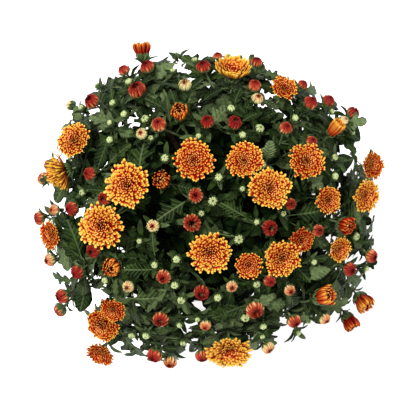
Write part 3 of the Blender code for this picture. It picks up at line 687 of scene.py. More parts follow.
def all_heads():
    """Every head as a dictionary, open flowers first."""
    rows = [("flower", *row) for row in FLOWERS]
    rows += [("opening", *row) for row in OPENING_FLOWERS]
    rows += [("coloured", *(row + (BUD_SHARE,))[:4], None, None) for row in COLOURED_BUDS]
    rows += [("green", *(row + (GREEN_BUD_SHARE,))[:4], None, None) for row in GREEN_BUDS]
    chance = random.Random(SEED)
    found = []
    for kind, east, north, size, share, lean, bearing in rows:
        point = settle(east * MM, north * MM, share)
        lean_wobble = chance.uniform(-LEAN_WOBBLE, LEAN_WOBBLE)
        bearing_wobble = chance.uniform(-BEARING_WOBBLE, BEARING_WOBBLE)
        if lean is None:
            out = dome_slope(point, LEAN_SHARE)
            lean = math.degrees(math.acos(out.z)) + lean_wobble
            bearing = math.degrees(math.atan2(out.y, out.x)) + bearing_wobble
        found.append(
            {
                "kind": kind,
                "point": point,
                "facing": direction_of(math.radians(lean), math.radians(bearing)),
                "size": size * MM,
                "spin": chance.uniform(0, 2 * math.pi),
                "stem": nearest_stem(point, directions),
            }
        )
    return found


def head_turn(head):
    """Turns a piece that was modelled along +Z the way that its head faces, and about it."""
    turn = Vector((0, 0, 1)).rotation_difference(head["facing"]).to_matrix()
    return turn @ Matrix.Rotation(head["spin"], 3, "Z")


def sprays_of(heads):
    """Groups of near heads on one stem. The first in each is its most open head."""
    waiting = list(range(len(heads)))
    sprays = []
    while waiting:
        leader = heads[waiting[0]]
        near = [i for i in waiting if heads[i]["stem"] == leader["stem"]]
        near.sort(key=lambda i: (heads[i]["point"] - leader["point"]).length)
        members = near[:SPRAY_HEADS]
        sprays.append(members)
        waiting = [i for i in waiting if i not in members]
    return sprays


def stem_routes(heads):
    """Every stretch of stem: its stem's number, its points, its radii and the head that it ends in."""
    routes = []
    forks = []
    for number, direction in enumerate(directions):
        start = ROOT_CROWN + direction * ((SOIL_LEVEL - STEM_DEPTH_IN_SOIL - ROOT_CROWN.z) / direction.z)
        fork = ROOT_CROWN + direction * (FORK_SHARE * crown_reach(direction))
        forks.append((start, fork))
        routes.append((number, (start, fork), (STEM_RADIUS, FORK_RADIUS), None))
    sprays = []
    for members in sprays_of(heads):
        mean = sum((heads[i]["point"] for i in members), Vector()) / len(members)
        away = (mean - ROOT_CROWN).normalized()
        spray = ROOT_CROWN + away * (SPRAY_SHARE * crown_reach(away))
        spray.z = max(spray.z, LOWEST_SPRAY)
        sprays.append((spray, members))
    used = [0] * len(forks)
    for spray, members in sorted(sprays, key=lambda pair: pair[0].z):
        number = heads[members[0]]["stem"]
        start, fork = forks[number]
        base = fork + (start - fork).normalized() * (SUNK + FORK_STEP * used[number])
        used[number] += 1
        for order, i in enumerate(members):
            head = heads[i]
            foot = head["point"] - head["facing"] * (FOOT_SHARE[head["kind"]] * head["size"])
            neck = foot - head["facing"] * NECK_LENGTH
            if order == 0:
                points = (base, spray, neck, foot)
                radii = (SPRAY_RADIUS, SPRAY_RADIUS, NECK_RADIUS, NECK_RADIUS)
            else:
                root = spray + (base - spray).normalized() * (SUNK + TWIG_STEP * (order - 1))
                straight = (foot - root).normalized().dot(head["facing"]) > STRAIGHT_TWIG
                points = (root, foot) if head["kind"] == "green" or straight else (root, neck, foot)
                radii = (TWIG_RADIUS, NECK_RADIUS, NECK_RADIUS)[: len(points)]
            routes.append((number, points, radii, i))
    return routes


def guide_mesh(points, edges=(), **attributes):
    """Points with named values, for a tree to work on. A value is a number, a whole number or a vector."""
    mesh = bpy.data.meshes.new("guide")
    mesh.from_pydata([tuple(point) for point in points], list(edges), [])
    for name, values in attributes.items():
        values = np.array(values)
        kind = "INT" if values.dtype.kind == "i" else "FLOAT" if values.ndim == 1 else "FLOAT_VECTOR"
        layer = mesh.attributes.new(name, kind, "POINT")
        layer.data.foreach_set("vector" if kind == "FLOAT_VECTOR" else "value", values.ravel())
    return mesh


def named(tree, name, data_type):
    return add(tree, "GeometryNodeInputNamedAttribute", {"Name": name}, data_type=data_type)


def twig_tree():
    """Round, tapering stems along a guide's edges, with eased bends. Its thickness is their radius."""
    inputs = {
        "Guide": "Geometry",
        "Sides": TWIG_SIDES,
        "Bend radius": BEND_RADIUS,
        "Bend steps": BEND_STEPS,
        "Material": "Material",
    }
    tree, given, result = new_group("GeometryNodeTree", "round stems", inputs, {"Stems": "Geometry"})
    values = {"Curve": add(tree, "GeometryNodeMeshToCurve", {0: given["Guide"]}), "Limit Radius": True}
    values |= {"Radius": given["Bend radius"], "Count": given["Bend steps"]}
    bent = add(tree, "GeometryNodeFilletCurve", values, mode="POLY")
    ring = add(tree, "GeometryNodeCurvePrimitiveCircle", {"Resolution": given["Sides"], "Radius": 1.0})
    values = {"Curve": bent, "Profile Curve": ring, "Fill Caps": True}
    values |= {"Scale": named(tree, "thickness", "FLOAT")}
    skin = add(tree, "GeometryNodeCurveToMesh", values)
    finish_tree(add(tree, "GeometryNodeSetShadeSmooth", {0: skin}), given["Material"], result)
    return tree


def stem_material():
    material, tree, shader = new_material("green stem", Roughness=0.55, Specular_IOR_Level=0.2)
    mottle = use_group(tree, soft_mottle, Scale=90.0, Light=STEM_GREEN, Dark=STEM_DARK)
    woody = mask(split(object_place(tree))["Z"], GREEN_ABOVE, WOOD_BELOW)
    grain = use_group(tree, fine_grain, Scale=1800.0, Coarse_scale=700.0)
    dress(shader, blend_colours(woody, mottle["Colour"], STEM_BROWN), grain, metres=0.0003)
    return material


# In a petal with a flat middle: the middle's half width, and its height as a share of its margins' rise
TROUGH_HALF = 0.45
TROUGH_RISE = 0.18


def skin_rings(bm, rings):
    """Faces between rings of as many points each."""
    for low, high in zip(rings, rings[1:]):
        for k in range(len(low)):
            after = (k + 1) % len(low)
            bm.faces.new((low[k], low[after], high[after], high[k]))


def closed_mesh(bm, name):
    """A smooth mesh of closed faces, with its normals outward."""
    bmesh.ops.recalc_face_normals(bm, faces=bm.faces)
    mesh = bpy.data.meshes.new(name)
    bm.to_mesh(mesh)
    bm.free()
    mesh.shade_smooth()
    return mesh


def petal_strip(name, stations, thickness, half=0.0):
    """A petal or bract one unit long: a thin closed blade along +X, with its inner face up.

    A station is how far along it lies, its width, its height, and how far its margins rise over its middle.
    The half is how far a flat middle reaches to either side. Without one the section is a shallow V."""
    bm = bmesh.new()
    layer = bm.verts.layers.float_vector.new("petal_at")
    rings = []
    for along, width, height, rise in stations:
        floor = rise * TROUGH_RISE if half else 0.0
        low = [(x, floor - thickness / 2, 1.0) for x in ((-half, half) if half else (0,))]
        high = [(x, floor + thickness / 2, 0.0) for x in ((half, -half) if half else (0,))]
        ring = []
        for across, lift, under in [(-1, rise, 0.5)] + low + [(1, rise, 0.5)] + high:
            vertex = bm.verts.new((along, across * width / 2, height + lift))
            vertex[layer] = (along, across, under)
            ring.append(vertex)
        rings.append(ring)
    skin_rings(bm, rings)
    bm.faces.new(rings[0][::-1])
    bm.faces.new(rings[-1])
    return show(name, closed_mesh(bm, name))


# What a whorl is given for its innermost and for its outermost petals, in shares of its head's size
WHORL_SIZES = ("tip reach", "tip height", "root reach", "root height", "width")
GOLDEN_TURN = 2.39996
# What each of a petal's own values adds to the whorl's seed
WHORL_DRAWS = {"turn": 100, "reach": 200, "height": 300, "width": 400, "roll": 500, "tint": 600}
# How much of the spread goes into a tip's height and a petal's roll, and the noise that draws tips in
HEIGHT_WOBBLE, ROLL_WOBBLE = 0.3, 2.0
HOLLOW_SCALE, HOLLOW_EDGES, HOLLOW_STEP = 1.4, (0.35, 0.70), 0.37


def whorl_form(petals, inner, outer, **more):
    """A whorl's inputs by their names, from two rows in the order of WHORL_SIZES."""
    form = {"Petals": petals} | more
    for i, size in enumerate(WHORL_SIZES):
        form |= {f"Inner {size}": inner[i], f"Outer {size}": outer[i]}
    return form


def whorl_tree():
    """Petals or bracts round an axis, in a spiral from the innermost to the outermost.

    Roots and tips each lie on a slope from the inner reach and height to the outer ones. The crown bows the
    slope of the tips up, the spread scatters their reach, height, width and roll, and the unevenness draws
    the tips in on some sides."""
    inputs = {"Guide": "Geometry", "Petal": "Object", "Petals": 12, "Seed": 0, "Material": "Material"}
    inputs |= {f"{end} {size}": 0.1 for end in ("Inner", "Outer") for size in WHORL_SIZES}
    inputs |= {"Crown": 0.0, "Spread": 0.1, "Unevenness": 0.0, "Turn": GOLDEN_TURN, "Tone": 0.0, "Fade": 12.5}
    tree, given, result = new_group("GeometryNodeTree", "petal whorl", inputs, {"Whorl": "Geometry"})
    index = add(tree, "GeometryNodeInputIndex")
    age = calc("SQRT", (index + 0.5) / given["Petals"])
    spread = given["Spread"]

    def wobble(draw):
        """A value of its own for each petal, as far as the spread to either side of nought."""
        return random_value(spread * -1.0, spread, given["Seed"] + WHORL_DRAWS[draw])

    def aged(size):
        """A size, from its inner value at the heart to its outer one at the rim."""
        return add(tree, "ShaderNodeMix", {0: age, 2: given[f"Inner {size}"], 3: given[f"Outer {size}"]})

    turn = index * given["Turn"] + wobble("turn")
    cosine, sine = calc("COSINE", turn), calc("SINE", turn)
    around_axis = combine(cosine, sine, given["Seed"] * HOLLOW_STEP)
    hollow = noise_at(around_axis, HOLLOW_SCALE, detail=1.0)
    hollow = mask(hollow, *HOLLOW_EDGES) * given["Unevenness"]
    tip_reach = aged("tip reach") * (wobble("reach") + 1.0) * (1.0 - hollow)
    bow = age * 4.0 * (1.0 - age)
    tip_height = wobble("height") * HEIGHT_WOBBLE + (bow * given["Crown"] + aged("tip height"))
    root_reach, root_height = aged("root reach"), aged("root height")
    out, rise = tip_reach - root_reach, tip_height - root_height
    length = calc("SQRT", out * out + rise * rise)
    width = aged("width") * (wobble("width") + 1.0)
    place = combine(root_reach * cosine, root_reach * sine, root_height)
    points = add(tree, "GeometryNodePoints", {"Count": given["Petals"], "Position": place})
    own = random_value(0.0, 1.0, given["Seed"] + WHORL_DRAWS["tint"])
    points = stored(points, "petal_tint", combine(age, own, given["Tone"]), "FLOAT_VECTOR")
    points = stored(points, "petal_fade", given["Fade"])
    rotation = combine(wobble("roll") * ROLL_WOBBLE, calc("ARCTAN2", rise, out) * -1.0, turn)
    values = {"Points": points, "Rotation": rotation, "Scale": combine(length, width, length)}
    values |= {"Instance": add(tree, "GeometryNodeObjectInfo", {0: given["Petal"]})["Geometry"]}
    finish_tree(add(tree, "GeometryNodeInstanceOnPoints", values), given["Material"], result)
    return tree


def place_tree():
    """Sets one of a collection's shapes at each guide point, which holds its turn, size and shape."""
    inputs = {"Guide": "Geometry", "Shapes": "Collection", "Material": "Material"}
    tree, given, result = new_group("GeometryNodeTree", "placed shapes", inputs, {"Placed": "Geometry"})
    values = {"Points": given["Guide"], "Instance": shapes_in(given["Shapes"]), "Pick Instance": True}
    values |= {"Instance Index": named(tree, "shape", "INT"), "Rotation": named(tree, "turn", "FLOAT_VECTOR")}
    values |= {"Scale": named(tree, "size", "FLOAT_VECTOR")}
    finish_tree(add(tree, "GeometryNodeInstanceOnPoints", values), given["Material"], result)
    return tree


def place_all(name, shapes, spots, material):
    """One mesh of many placed shapes. A spot is a dictionary of its place, turn, size, shape and more."""
    held = {key: [spot[key] for spot in spots] for key in spots[0] if key != "place"}
    guide = guide_mesh([spot["place"] for spot in spots], **held)
    return grow(name, placed_shapes, guide, {"Shapes": shapes, "Material": material})


def spot_of(head, shape, tone=0.0):
    """Where a shape that was modelled along +Z, one unit across, stands at a head."""
    spot = {"place": head["point"], "turn": list(head_turn(head).to_euler()), "size": [head["size"]] * 3}
    return spot | {"shape": shape, "head_tone": tone}


def join(pieces):
    """Makes one object of several, by the first one's name."""
    with bpy.context.temp_override(active_object=pieces[0], selected_editable_objects=pieces):
        bpy.ops.object.join()
    return pieces[0]


# Along a bract of a green cup, and along the petals that a green bud shows
BRACT_STATIONS = (
    (0.00, 0.55, 0.00, 0.00),
    (0.30, 0.95, -0.15, 0.05),
    (0.60, 1.00, -0.19, 0.07),
    (0.85, 0.62, -0.11, 0.04),
    (1.00, 0.14, 0.02, 0.01),
)
BUD_PETAL_STATIONS = (
    (0.00, 0.60, 0.00, 0.00),
    (0.35, 1.00, -0.30, 0.03),
    (0.65, 0.95, -0.33, 0.04),
    (0.88, 0.75, -0.17, 0.04),
    (1.00, 0.34, -0.02, 0.02),
)
BRACT_THICKNESS = 0.05
# The bracts of each kind of head, and the petals of the three green buds, which differ in number and reach
CUPS = {
    "flower": whorl_form(13, (0.17, -0.12, 0.03, -0.29, 0.10), (0.23, -0.10, 0.03, -0.29, 0.10)),
    "opening": whorl_form(15, (0.34, -0.08, 0.05, -0.60, 0.26), (0.40, -0.22, 0.05, -0.62, 0.26)),
    "coloured": whorl_form(15, (0.47, 0.02, 0.05, -0.48, 0.30), (0.52, -0.14, 0.05, -0.50, 0.30)),
    "green": whorl_form(18, (0.46, 0.10, 0.05, -0.40, 0.26), (0.54, -0.10, 0.05, -0.42, 0.28)),
}
GREEN_BUD_PETALS = ((26, 0.13), (22, 0.19), (20, 0.08))
GREEN_BUD_INNER = (0.00, 0.32, 0.08, -0.20, 0.14)
GREEN_BUD_OUTER = (0.32, 0.26, -0.24, 0.20)
BRACT_GREEN = (0.060, 0.100, 0.026, 1)
BRACT_DARK = (0.028, 0.055, 0.014, 1)
BRACT_PALE = (0.170, 0.230, 0.090, 1)
# Across a bract, where its pale margin begins and is full. Across and along a bud's petal, its cream stripe.
BRACT_MARGIN, MARGIN_SHARE = (0.45, 0.95), 0.65
BUD_CREAM = (0.500, 0.560, 0.260, 1)
BUD_GREEN = (0.170, 0.260, 0.075, 1)
CREAM_STRIPE, CREAM_END = (0.90, 0.25), (0.25, 0.80)
STRIPE_SWELL = 0.5
IS_PETAL = 0.5
CUP_CHANCE = SEED + 2


def bract_material():
    """For bracts, and with a tone of 1 for the petals of green buds, which are cream along their middles."""
    material, tree, shader = new_material("green bract", Roughness=0.6, Specular_IOR_Level=0.15)
    at, tone = marks(tree, "petal_at"), marks(tree, "petal_tint")["Z"]
    across = calc("ABSOLUTE", at["Y"])
    mottle = use_group(tree, soft_mottle, Scale=400.0, Light=BRACT_GREEN, Dark=BRACT_DARK)
    bract = blend_colours(mask(across, *BRACT_MARGIN) * MARGIN_SHARE, mottle["Colour"], BRACT_PALE)
    stripe = mask(across, *CREAM_STRIPE)
    petal = blend_colours(stripe * mask(at["X"], *CREAM_END), BUD_GREEN, BUD_CREAM)
    colour = blend_colours(calc("GREATER_THAN", tone, IS_PETAL), bract, petal)
    grain = use_group(tree, fine_grain, Scale=2500.0, Coarse_scale=900.0)
    dress(shader, colour, stripe * STRIPE_SWELL + grain["Height"], metres=0.00012)
    return material


directions = stem_directions()
heads = all_heads()
routes = stem_routes(heads)
round_stems, petal_whorl, placed_shapes = twig_tree(), whorl_tree(), place_tree()
stem_finish, bract_finish = stem_material(), bract_material()
bract = petal_strip("bract", BRACT_STATIONS, BRACT_THICKNESS)
bud_petal = petal_strip("bud_petal", BUD_PETAL_STATIONS, BRACT_THICKNESS)


def whorl(name, petal, material, seed, form):
    """One whorl about +Z, in shares of its head's size."""
    values = form | {"Petal": petal, "Material": material, "Seed": seed}
    return grow(name, petal_whorl, guide_mesh([(0, 0, 0)]), values)


cups = [whorl(f"cup_{kind}", bract, bract_finish, SEED + i, CUPS[kind]) for i, kind in enumerate(CUPS)]
for i, (petals, reach) in enumerate(GREEN_BUD_PETALS):
    outer = (reach, *GREEN_BUD_OUTER)
    form = whorl_form(petals, GREEN_BUD_INNER, outer, Spread=0.06, Crown=0.03, Tone=1.0)
    green_bud = whorl(f"green_{i}", bud_petal, bract_finish, SEED + i, form)
    cups.append(join([green_bud, whorl("cup", bract, bract_finish, SEED + 9 * i, CUPS["green"])]))
cup_shapes = shapes_collection("cup_shape", [cup.data for cup in cups])
chance = random.Random(CUP_CHANCE)
for number in range(len(directions)):
    points, edges, thickness = [], [], []
    for stem, route, radii, _head in routes:
        if stem == number:
            edges += [(len(points) + i, len(points) + i + 1) for i in range(len(route) - 1)]
            points += route
            thickness += radii
    guide = guide_mesh(points, edges, thickness=thickness)
    stems = grow("stems", round_stems, guide, {"Material": stem_finish})
    spots = []
    for head in heads:
        if head["stem"] == number:
            shape = list(CUPS).index(head["kind"])
            if head["kind"] == "green":
                shape += chance.randrange(len(GREEN_BUD_PETALS)) + 1
            spots.append(spot_of(head, shape))
    stems = join([stems, place_all("cups", cup_shapes, spots, bract_finish)])
    stems.name = f"leafy_stem_{number + 1:02d}_twigs"
    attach(stems, "root")
    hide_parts(f"leafy_stem_{number + 1:02d}")
drop_collection(cup_shapes)
for obj in cups + [bud_petal]:
    bpy.data.objects.remove(obj, do_unlink=True)


# Leaves are matte dark green blades with a paler midrib, cut into blunt lobes and set on short stalks. Those
# near the flowers are small and nearly whole, and narrow bracts stand on the last twigs.
# Some outer leaves carry a painted sheen of pale grey-green, and leaves deep in the dome are darkened with
# painted shade.
LEAF_COUNT = 154
LEAF_LAYERS = (0.90, 0.79, 0.86, 0.68)
LEAF_LOWEST_POLAR = math.radians(104)
LEAF_LENGTH = 0.041
LEAF_WIDTH = 0.036
LEAF_STALK = 0.42
LEAF_SIZES = (1.0, 0.84, 0.70)
LEAF_SHORTEST = 0.72
LEAF_LONGEST = 1.2
LEAF_LEAN_SHARE = 0.62
LEAF_TILT = 0.3
LEAF_TRIES = 30
OFF_PLANE_WEIGHT = 0.9
BELOW_WEIGHT = 0.5
TWIG_SPACING = 0.006
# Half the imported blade's outline: share of width across, share of length along, and height
BLADE_OUTLINE = (
    (0.036, 0.00, 0.0),
    (0.41, 0.27, 0.0012),
    (0.22, 0.42, 0.0002),
    (0.50, 0.62, 0.0016),
    (0.25, 0.74, 0.0004),
)
BLADE_MIDDLE = 0.50
TIP_DROOP = -0.0016
MIDRIB_DIP = -0.0006
KEEL_DEPTH = 0.0021
# How far packed leaves keep off the next stem's wedge, and all leaves off the rim and the heads. The drums
# are the room of a flower and of a bud: low end, high end and radius, in shares of its size.
WEDGE_MARGIN = 0.0007
RIM_MARGIN = 0.004
HEAD_MARGIN = 0.0012
FLOWER_DRUMS = ((-0.20, 0.40, 0.50), (-0.45, 0.40, 0.30))
BUD_DRUM = (-0.70, 0.80, 0.50)
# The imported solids' plain stems, cups and buds. A ring gives its sides, height and radius.
PLAIN_STEM_SIDES = 4
PLAIN_TWIG_SIDES = 3
HEAD_RINGS = {
    "flower": ((6, -0.135, 0.155),),
    "opening": ((6, -0.36, 0.27),),
    "coloured": ((6, -0.02, 0.50), (3, 0.44, 0.25)),
    "green": ((6, 0.00, 0.50), (3, 0.42, 0.22)),
}
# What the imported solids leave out: smaller leaves all over the dome, more of them away from its top, and
# bracts below the heads. Near the top they lie deeper, at a share of their reach.
SMALL_LEAF_COUNT = 700
SMALL_LEAF_LAYERS = (0.92, 0.84, 0.74, 0.64, 0.54)
SMALL_LEAF_SIZES = (0.72, 0.60, 0.48)
SMALL_LEAF_SHORTEST = 0.60
SMALL_LEAF_NARROWER = (0.62, 0.95)
SMALL_LEAF_TRIES = 8
SKIRT_LEAF_COUNT = 380
SKIRT_LAYERS = (0.95, 0.86, 0.78)
SKIRT_HIGHEST_POLAR = math.radians(38)
MIDDLE_POLAR = math.radians(42)
MIDDLE_DEPTH = 0.82
SLOPE_WOBBLE = 0.55
# Bracts: how they turn from one to the next, how far they lean, and how far below the head's foot they spring
BRACTS_A_HEAD = 5
BRACT_LENGTHS = (0.009, 0.018)
BRACT_WIDTH_SHARE = 0.36
BRACT_STALK_SHARE = 0.4
BRACT_STEP = 2.4
BRACT_LEAN = (35, 80)
BRACT_BELOW = (0.002, 0.014)
# Half outlines of blades: share of the width across and share of the length along
LOBED = (
    (0.03, 0.00), (0.09, 0.10), (0.22, 0.15), (0.39, 0.20), (0.40, 0.30), (0.17, 0.37),
    (0.22, 0.47), (0.44, 0.53), (0.48, 0.64), (0.20, 0.70), (0.24, 0.83), (0.15, 0.96),
)
SHALLOW = (
    (0.03, 0.00), (0.12, 0.08), (0.27, 0.18), (0.36, 0.30), (0.25, 0.40), (0.38, 0.50),
    (0.42, 0.63), (0.24, 0.71), (0.23, 0.86), (0.12, 0.97),
)
OBLONG = ((0.03, 0.00), (0.13, 0.12), (0.29, 0.30), (0.38, 0.50), (0.34, 0.68), (0.21, 0.85), (0.08, 0.97))
NARROW = ((0.20, 0.00), (0.38, 0.25), (0.50, 0.50), (0.40, 0.75), (0.16, 0.95))
# Each shape's outline, arch, fold up from the midrib, and how much its margin waves
LEAF_FORMS = (
    (LOBED, 0.05, 0.16, 0.020),
    (SHALLOW, 0.07, 0.14, 0.025),
    (OBLONG, 0.06, 0.20, 0.012),
    (LOBED, -0.03, 0.10, 0.030),
    (NARROW, 0.08, 0.30, 0.0),
)
# The shapes that packed leaves, smaller leaves and bracts are picked from, by their place in LEAF_FORMS
KIND_SHAPES = ((0, 3, 1), (1, 2, 0), (4,))
BLADE_ACROSS = (-1, -0.5, 0, 0.5, 1)
BLADE_THICKNESS = 0.010
LEAF_DROOP = 0.10
FOLD_EASED = 0.5
WAVES, WAVE_OFFSET = 19, 2
STALK_WIDTH = 0.030
STALK_SIDES = 4
STALK_SAG = 0.02
# Along the stalk: place, and share of its width. Its mark gives it the look of a blade's midrib.
STALK_RINGS = ((-LEAF_STALK, 1.0), (-LEAF_STALK / 2, 0.8), (0.08, 0.7))
STALK_MARK = (0.0, 0.5, 0.0)
# The dark green is both the leaves' own mottle and the painted shade of deep leaves. The pale one is both the
# veins' colour and a painted sheen on outer leaves.
LEAF_GREEN = (0.026, 0.051, 0.007, 1)
LEAF_DARK_AND_SHADE = (0.003, 0.010, 0.001, 1)
LEAF_VEIN_AND_SHEEN = (0.170, 0.228, 0.096, 1)
LEAF_UNDER = (0.050, 0.075, 0.032, 1)
# In a leaf's chance from 0 to 1, where leaves turn darker and where they take a painted sheen. In its depth
# under the dome's skin, as a share, where the painted sheen stops, and where painted shade begins and is full.
DARK_CHANCE, DARK_SHARE = (0.45, 0.10), 0.70
SHEEN_CHANCE, SHEEN_DEPTH, SHEEN_SHARE = (0.45, 1.05), (0.45, 0.05), 0.92
PAINTED_SHADE_DEPTH = (0.09, 0.34)
SPECKLE_SHARE = 0.45
VEIN_SHARE = 0.42
UNDERSIDE = (0.02, 0.30)
# How much less a bract takes the painted sheen and shows its veins than a packed leaf does
BRACT_LESS_SHEEN, BRACT_LESS_VEINED = 0.5, 0.85
# Least roughness, and what the grain and the painted shade's mask add to it
LEAF_ROUGHNESS = (0.38, 0.3, 0.4)
GRAIN_IN_BUMP = 0.20
# Half widths of the midrib and the side veins, from where they end to where they are full
RIB_EDGES, VEIN_EDGES, VEIN_REACH = (0.050, 0.012), (0.13, 0.03), (0.48, 0.10)
SIDE_VEIN_STRENGTH, VEIN_SWELL, RIB_GROOVE = 0.6, 0.8, -0.6
PACKED_CHANCE, SMALL_CHANCE, BRACT_CHANCE, TINT_CHANCE = SEED + 1, SEED + 3, SEED + 4, SEED + 5


def leaf_matrix(root, along, up, width, length):
    """Puts a leaf's length along one direction and its upper face toward up, at its width and length."""
    matrix = Matrix.Identity(4)
    for i, column in enumerate((along.cross(up) * width, along * length, up, root)):
        matrix.col[i][:3] = column
    return matrix


def ring_frames(points):
    """Three square directions at each point of a path, the first along it, turned on without a twist."""
    frames = []
    along = (points[1] - points[0]).normalized()
    side = along.orthogonal().normalized()
    for i in range(len(points)):
        after = (points[min(i + 1, len(points) - 1)] - points[max(i - 1, 0)]).normalized()
        side = along.rotation_difference(after) @ side
        along = after
        frames.append((along, side, along.cross(side)))
    return frames


def ring_at(point, frame, radius, sides):
    _along, side, other = frame
    angles = [2 * math.pi * k / sides for k in range(sides)]
    return [point + side * (radius * math.cos(a)) + other * (radius * math.sin(a)) for a in angles]


def lofted(rings):
    """Points and faces of a closed skin over rings, each with as many points as the last, half or twice."""
    points = [point for ring in rings for point in ring]
    starts = [sum(len(ring) for ring in rings[:i]) for i in range(len(rings))]
    faces = []
    for i in range(len(rings) - 1):
        low = [starts[i] + k for k in range(len(rings[i]))]
        high = [starts[i + 1] + k for k in range(len(rings[i + 1]))]
        few, many = (low, high) if len(low) <= len(high) else (high, low)
        for k, point in enumerate(few):
            after = few[(k + 1) % len(few)]
            if len(few) == len(many):
                faces.append((point, after, many[(k + 1) % len(many)], many[k]))
                continue
            first, middle, last = many[2 * k], many[2 * k + 1], many[(2 * k + 2) % len(many)]
            faces += [(point, middle, first), (point, after, middle), (after, last, middle)]
    faces.append(tuple(range(len(rings[0]))))
    faces.append(tuple(range(starts[-1], len(points))))
    return points, faces


def packed_route(points, radii, head):
    """The plain, few-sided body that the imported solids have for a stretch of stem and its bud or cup."""
    frames = ring_frames(points)
    sides = PLAIN_STEM_SIDES if head is None else PLAIN_TWIG_SIDES
    rings = [ring_at(p, f, r, sides) for p, f, r in zip(points, frames, radii)]
    if head is not None:
        facing = head["facing"]
        along, side, _other = frames[-1]
        side = along.rotation_difference(facing) @ side
        square = (facing, side, facing.cross(side))
        for sides, height, radius in HEAD_RINGS[head["kind"]]:
            middle = head["point"] + facing * (height * head["size"])
            rings.append(ring_at(middle, square, radius * head["size"], sides))
    return lofted(rings)


def blade_margin():
    """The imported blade's margin from its stalk's root round by the tip, in shares of width and length."""
    left = [(-x, y, z) for x, y, z in BLADE_OUTLINE]
    right = [(x, y, z) for x, y, z in reversed(BLADE_OUTLINE)]
    return [(0.0, -LEAF_STALK, 0.0)] + left + [(0.0, 1.0, TIP_DROOP)] + right


def packed_blade():
    margin = blade_margin()
    rib = len(margin)
    points = margin + [(0, BLADE_MIDDLE, MIDRIB_DIP), (0, BLADE_MIDDLE, MIDRIB_DIP - KEEL_DEPTH)]
    faces = [(rib, (i + 1) % rib, i) for i in range(rib)]
    faces += [(rib + 1, i, (i + 1) % rib) for i in range(rib)]
    return [Vector(point) for point in points], faces


def blade_points():
    """Points all over the blade, for keeping it clear of other things."""
    margin = np.array(blade_margin())
    edge = np.concatenate([margin, (margin[1:] + margin[:-1]) / 2])
    middle = np.array([0, BLADE_MIDDLE, MIDRIB_DIP])
    inner = (edge + middle) / 2
    return np.concatenate([edge, (edge + inner) / 2, inner, [middle]])


class Surroundings:
    """What a leaf keeps clear of: its neighbours' wedges, the pot's rim and every head."""

    def __init__(self):
        self.blade = blade_points()
        self.directions = np.array([list(d) for d in directions])
        self.middles = np.array([list(h["point"]) for h in heads])
        self.facings = np.array([list(h["facing"]) for h in heads])
        self.sizes = np.array([h["size"] for h in heads])
        self.open = np.array([h["kind"] == "flower" for h in heads])

    def placed(self, matrix):
        return self.blade @ np.array(matrix.to_3x3()).T + np.array(matrix.translation)

    def in_wedge(self, points, stem):
        away = points - np.array(ROOT_CROWN)
        for number, direction in enumerate(self.directions):
            side = self.directions[stem] - direction
            if number != stem and (away @ (side / np.linalg.norm(side))).min() < WEDGE_MARGIN:
                return False
        return True

    def off_rim(self, points):
        across = np.hypot(points[:, 0], points[:, 1])
        return not ((points[:, 2] < POT_HEIGHT + RIM_MARGIN) & (across < POT_RIM_RADIUS + RIM_MARGIN)).any()

    def off_heads(self, points):
        offset = points[:, None, :] - self.middles[None, :, :]
        rise = (offset * self.facings[None]).sum(2)
        out = np.sqrt(np.maximum((offset**2).sum(2) - rise**2, 0.0))
        rise, out = rise / self.sizes, (out - HEAD_MARGIN) / self.sizes

        def inside(drum):
            low, high, radius = drum
            return (rise > low) & (rise < high) & (out < radius)

        in_flower = inside(FLOWER_DRUMS[0]) | inside(FLOWER_DRUMS[1])
        return not np.where(self.open, in_flower, inside(BUD_DRUM)).any()


def search_tree(points, faces, matrix):
    """A search tree of a placed body, for finding what it crosses."""
    return BVHTree.FromPolygons([matrix @ point for point in points], faces)


def leaf_targets(count, layers, highest_polar=0.0):
    """The middle of each blade, spread evenly over the dome below a polar angle, layer after layer."""
    golden = math.pi * (3 - math.sqrt(5))
    highest, lowest = math.cos(highest_polar), math.cos(LEAF_LOWEST_POLAR)
    targets = []
    for i in range(count):
        direction = direction_of(math.acos(highest - (i + 0.5) / count * (highest - lowest)), i * golden)
        share = layers[i % len(layers)]
        targets.append(Vector((0, 0, DOME_LEVEL)) + direction * (share * dome_reach(direction)))
    return targets


def twig_places():
    """For each leafy stem, points along its twigs above the pot, each with the number of its route."""
    places = [[] for _ in directions]
    for k, (number, points, _radii, _head) in enumerate(routes):
        for first, last in zip(points, points[1:]):
            steps = max(2, round((last - first).length / TWIG_SPACING))
            along = [(first.lerp(last, i / steps), k) for i in range(steps)]
            places[number] += [pair for pair in along if pair[0].z > POT_HEIGHT]
    return places


def leaf_tries(target, stem, places, slope, tilt, tries, sizes, shortest):
    """Ways to grow a leaf with its blade's middle at the target, the best twig point first."""

    def misfit(twig):
        reach = target - twig[0]
        length_error = abs(reach.length - (LEAF_STALK + BLADE_MIDDLE) * LEAF_LENGTH)
        return length_error + OFF_PLANE_WEIGHT * abs(reach.dot(slope)) + BELOW_WEIGHT * max(0.0, reach.z)

    near = sorted(places[stem], key=misfit)[:tries]
    for size in sizes:
        for point, route in near:
            along = (target - point).normalized()
            length = (target - point).length / (LEAF_STALK + BLADE_MIDDLE)
            length = size * min(max(length, shortest * LEAF_LENGTH), LEAF_LONGEST * LEAF_LENGTH)
            side = along.cross(slope).normalized()
            up = (side.cross(along) + side * tilt).normalized()
            root = point + along * (LEAF_STALK * length)
            yield leaf_matrix(root, along, up, length * LEAF_WIDTH / LEAF_LENGTH, length), route


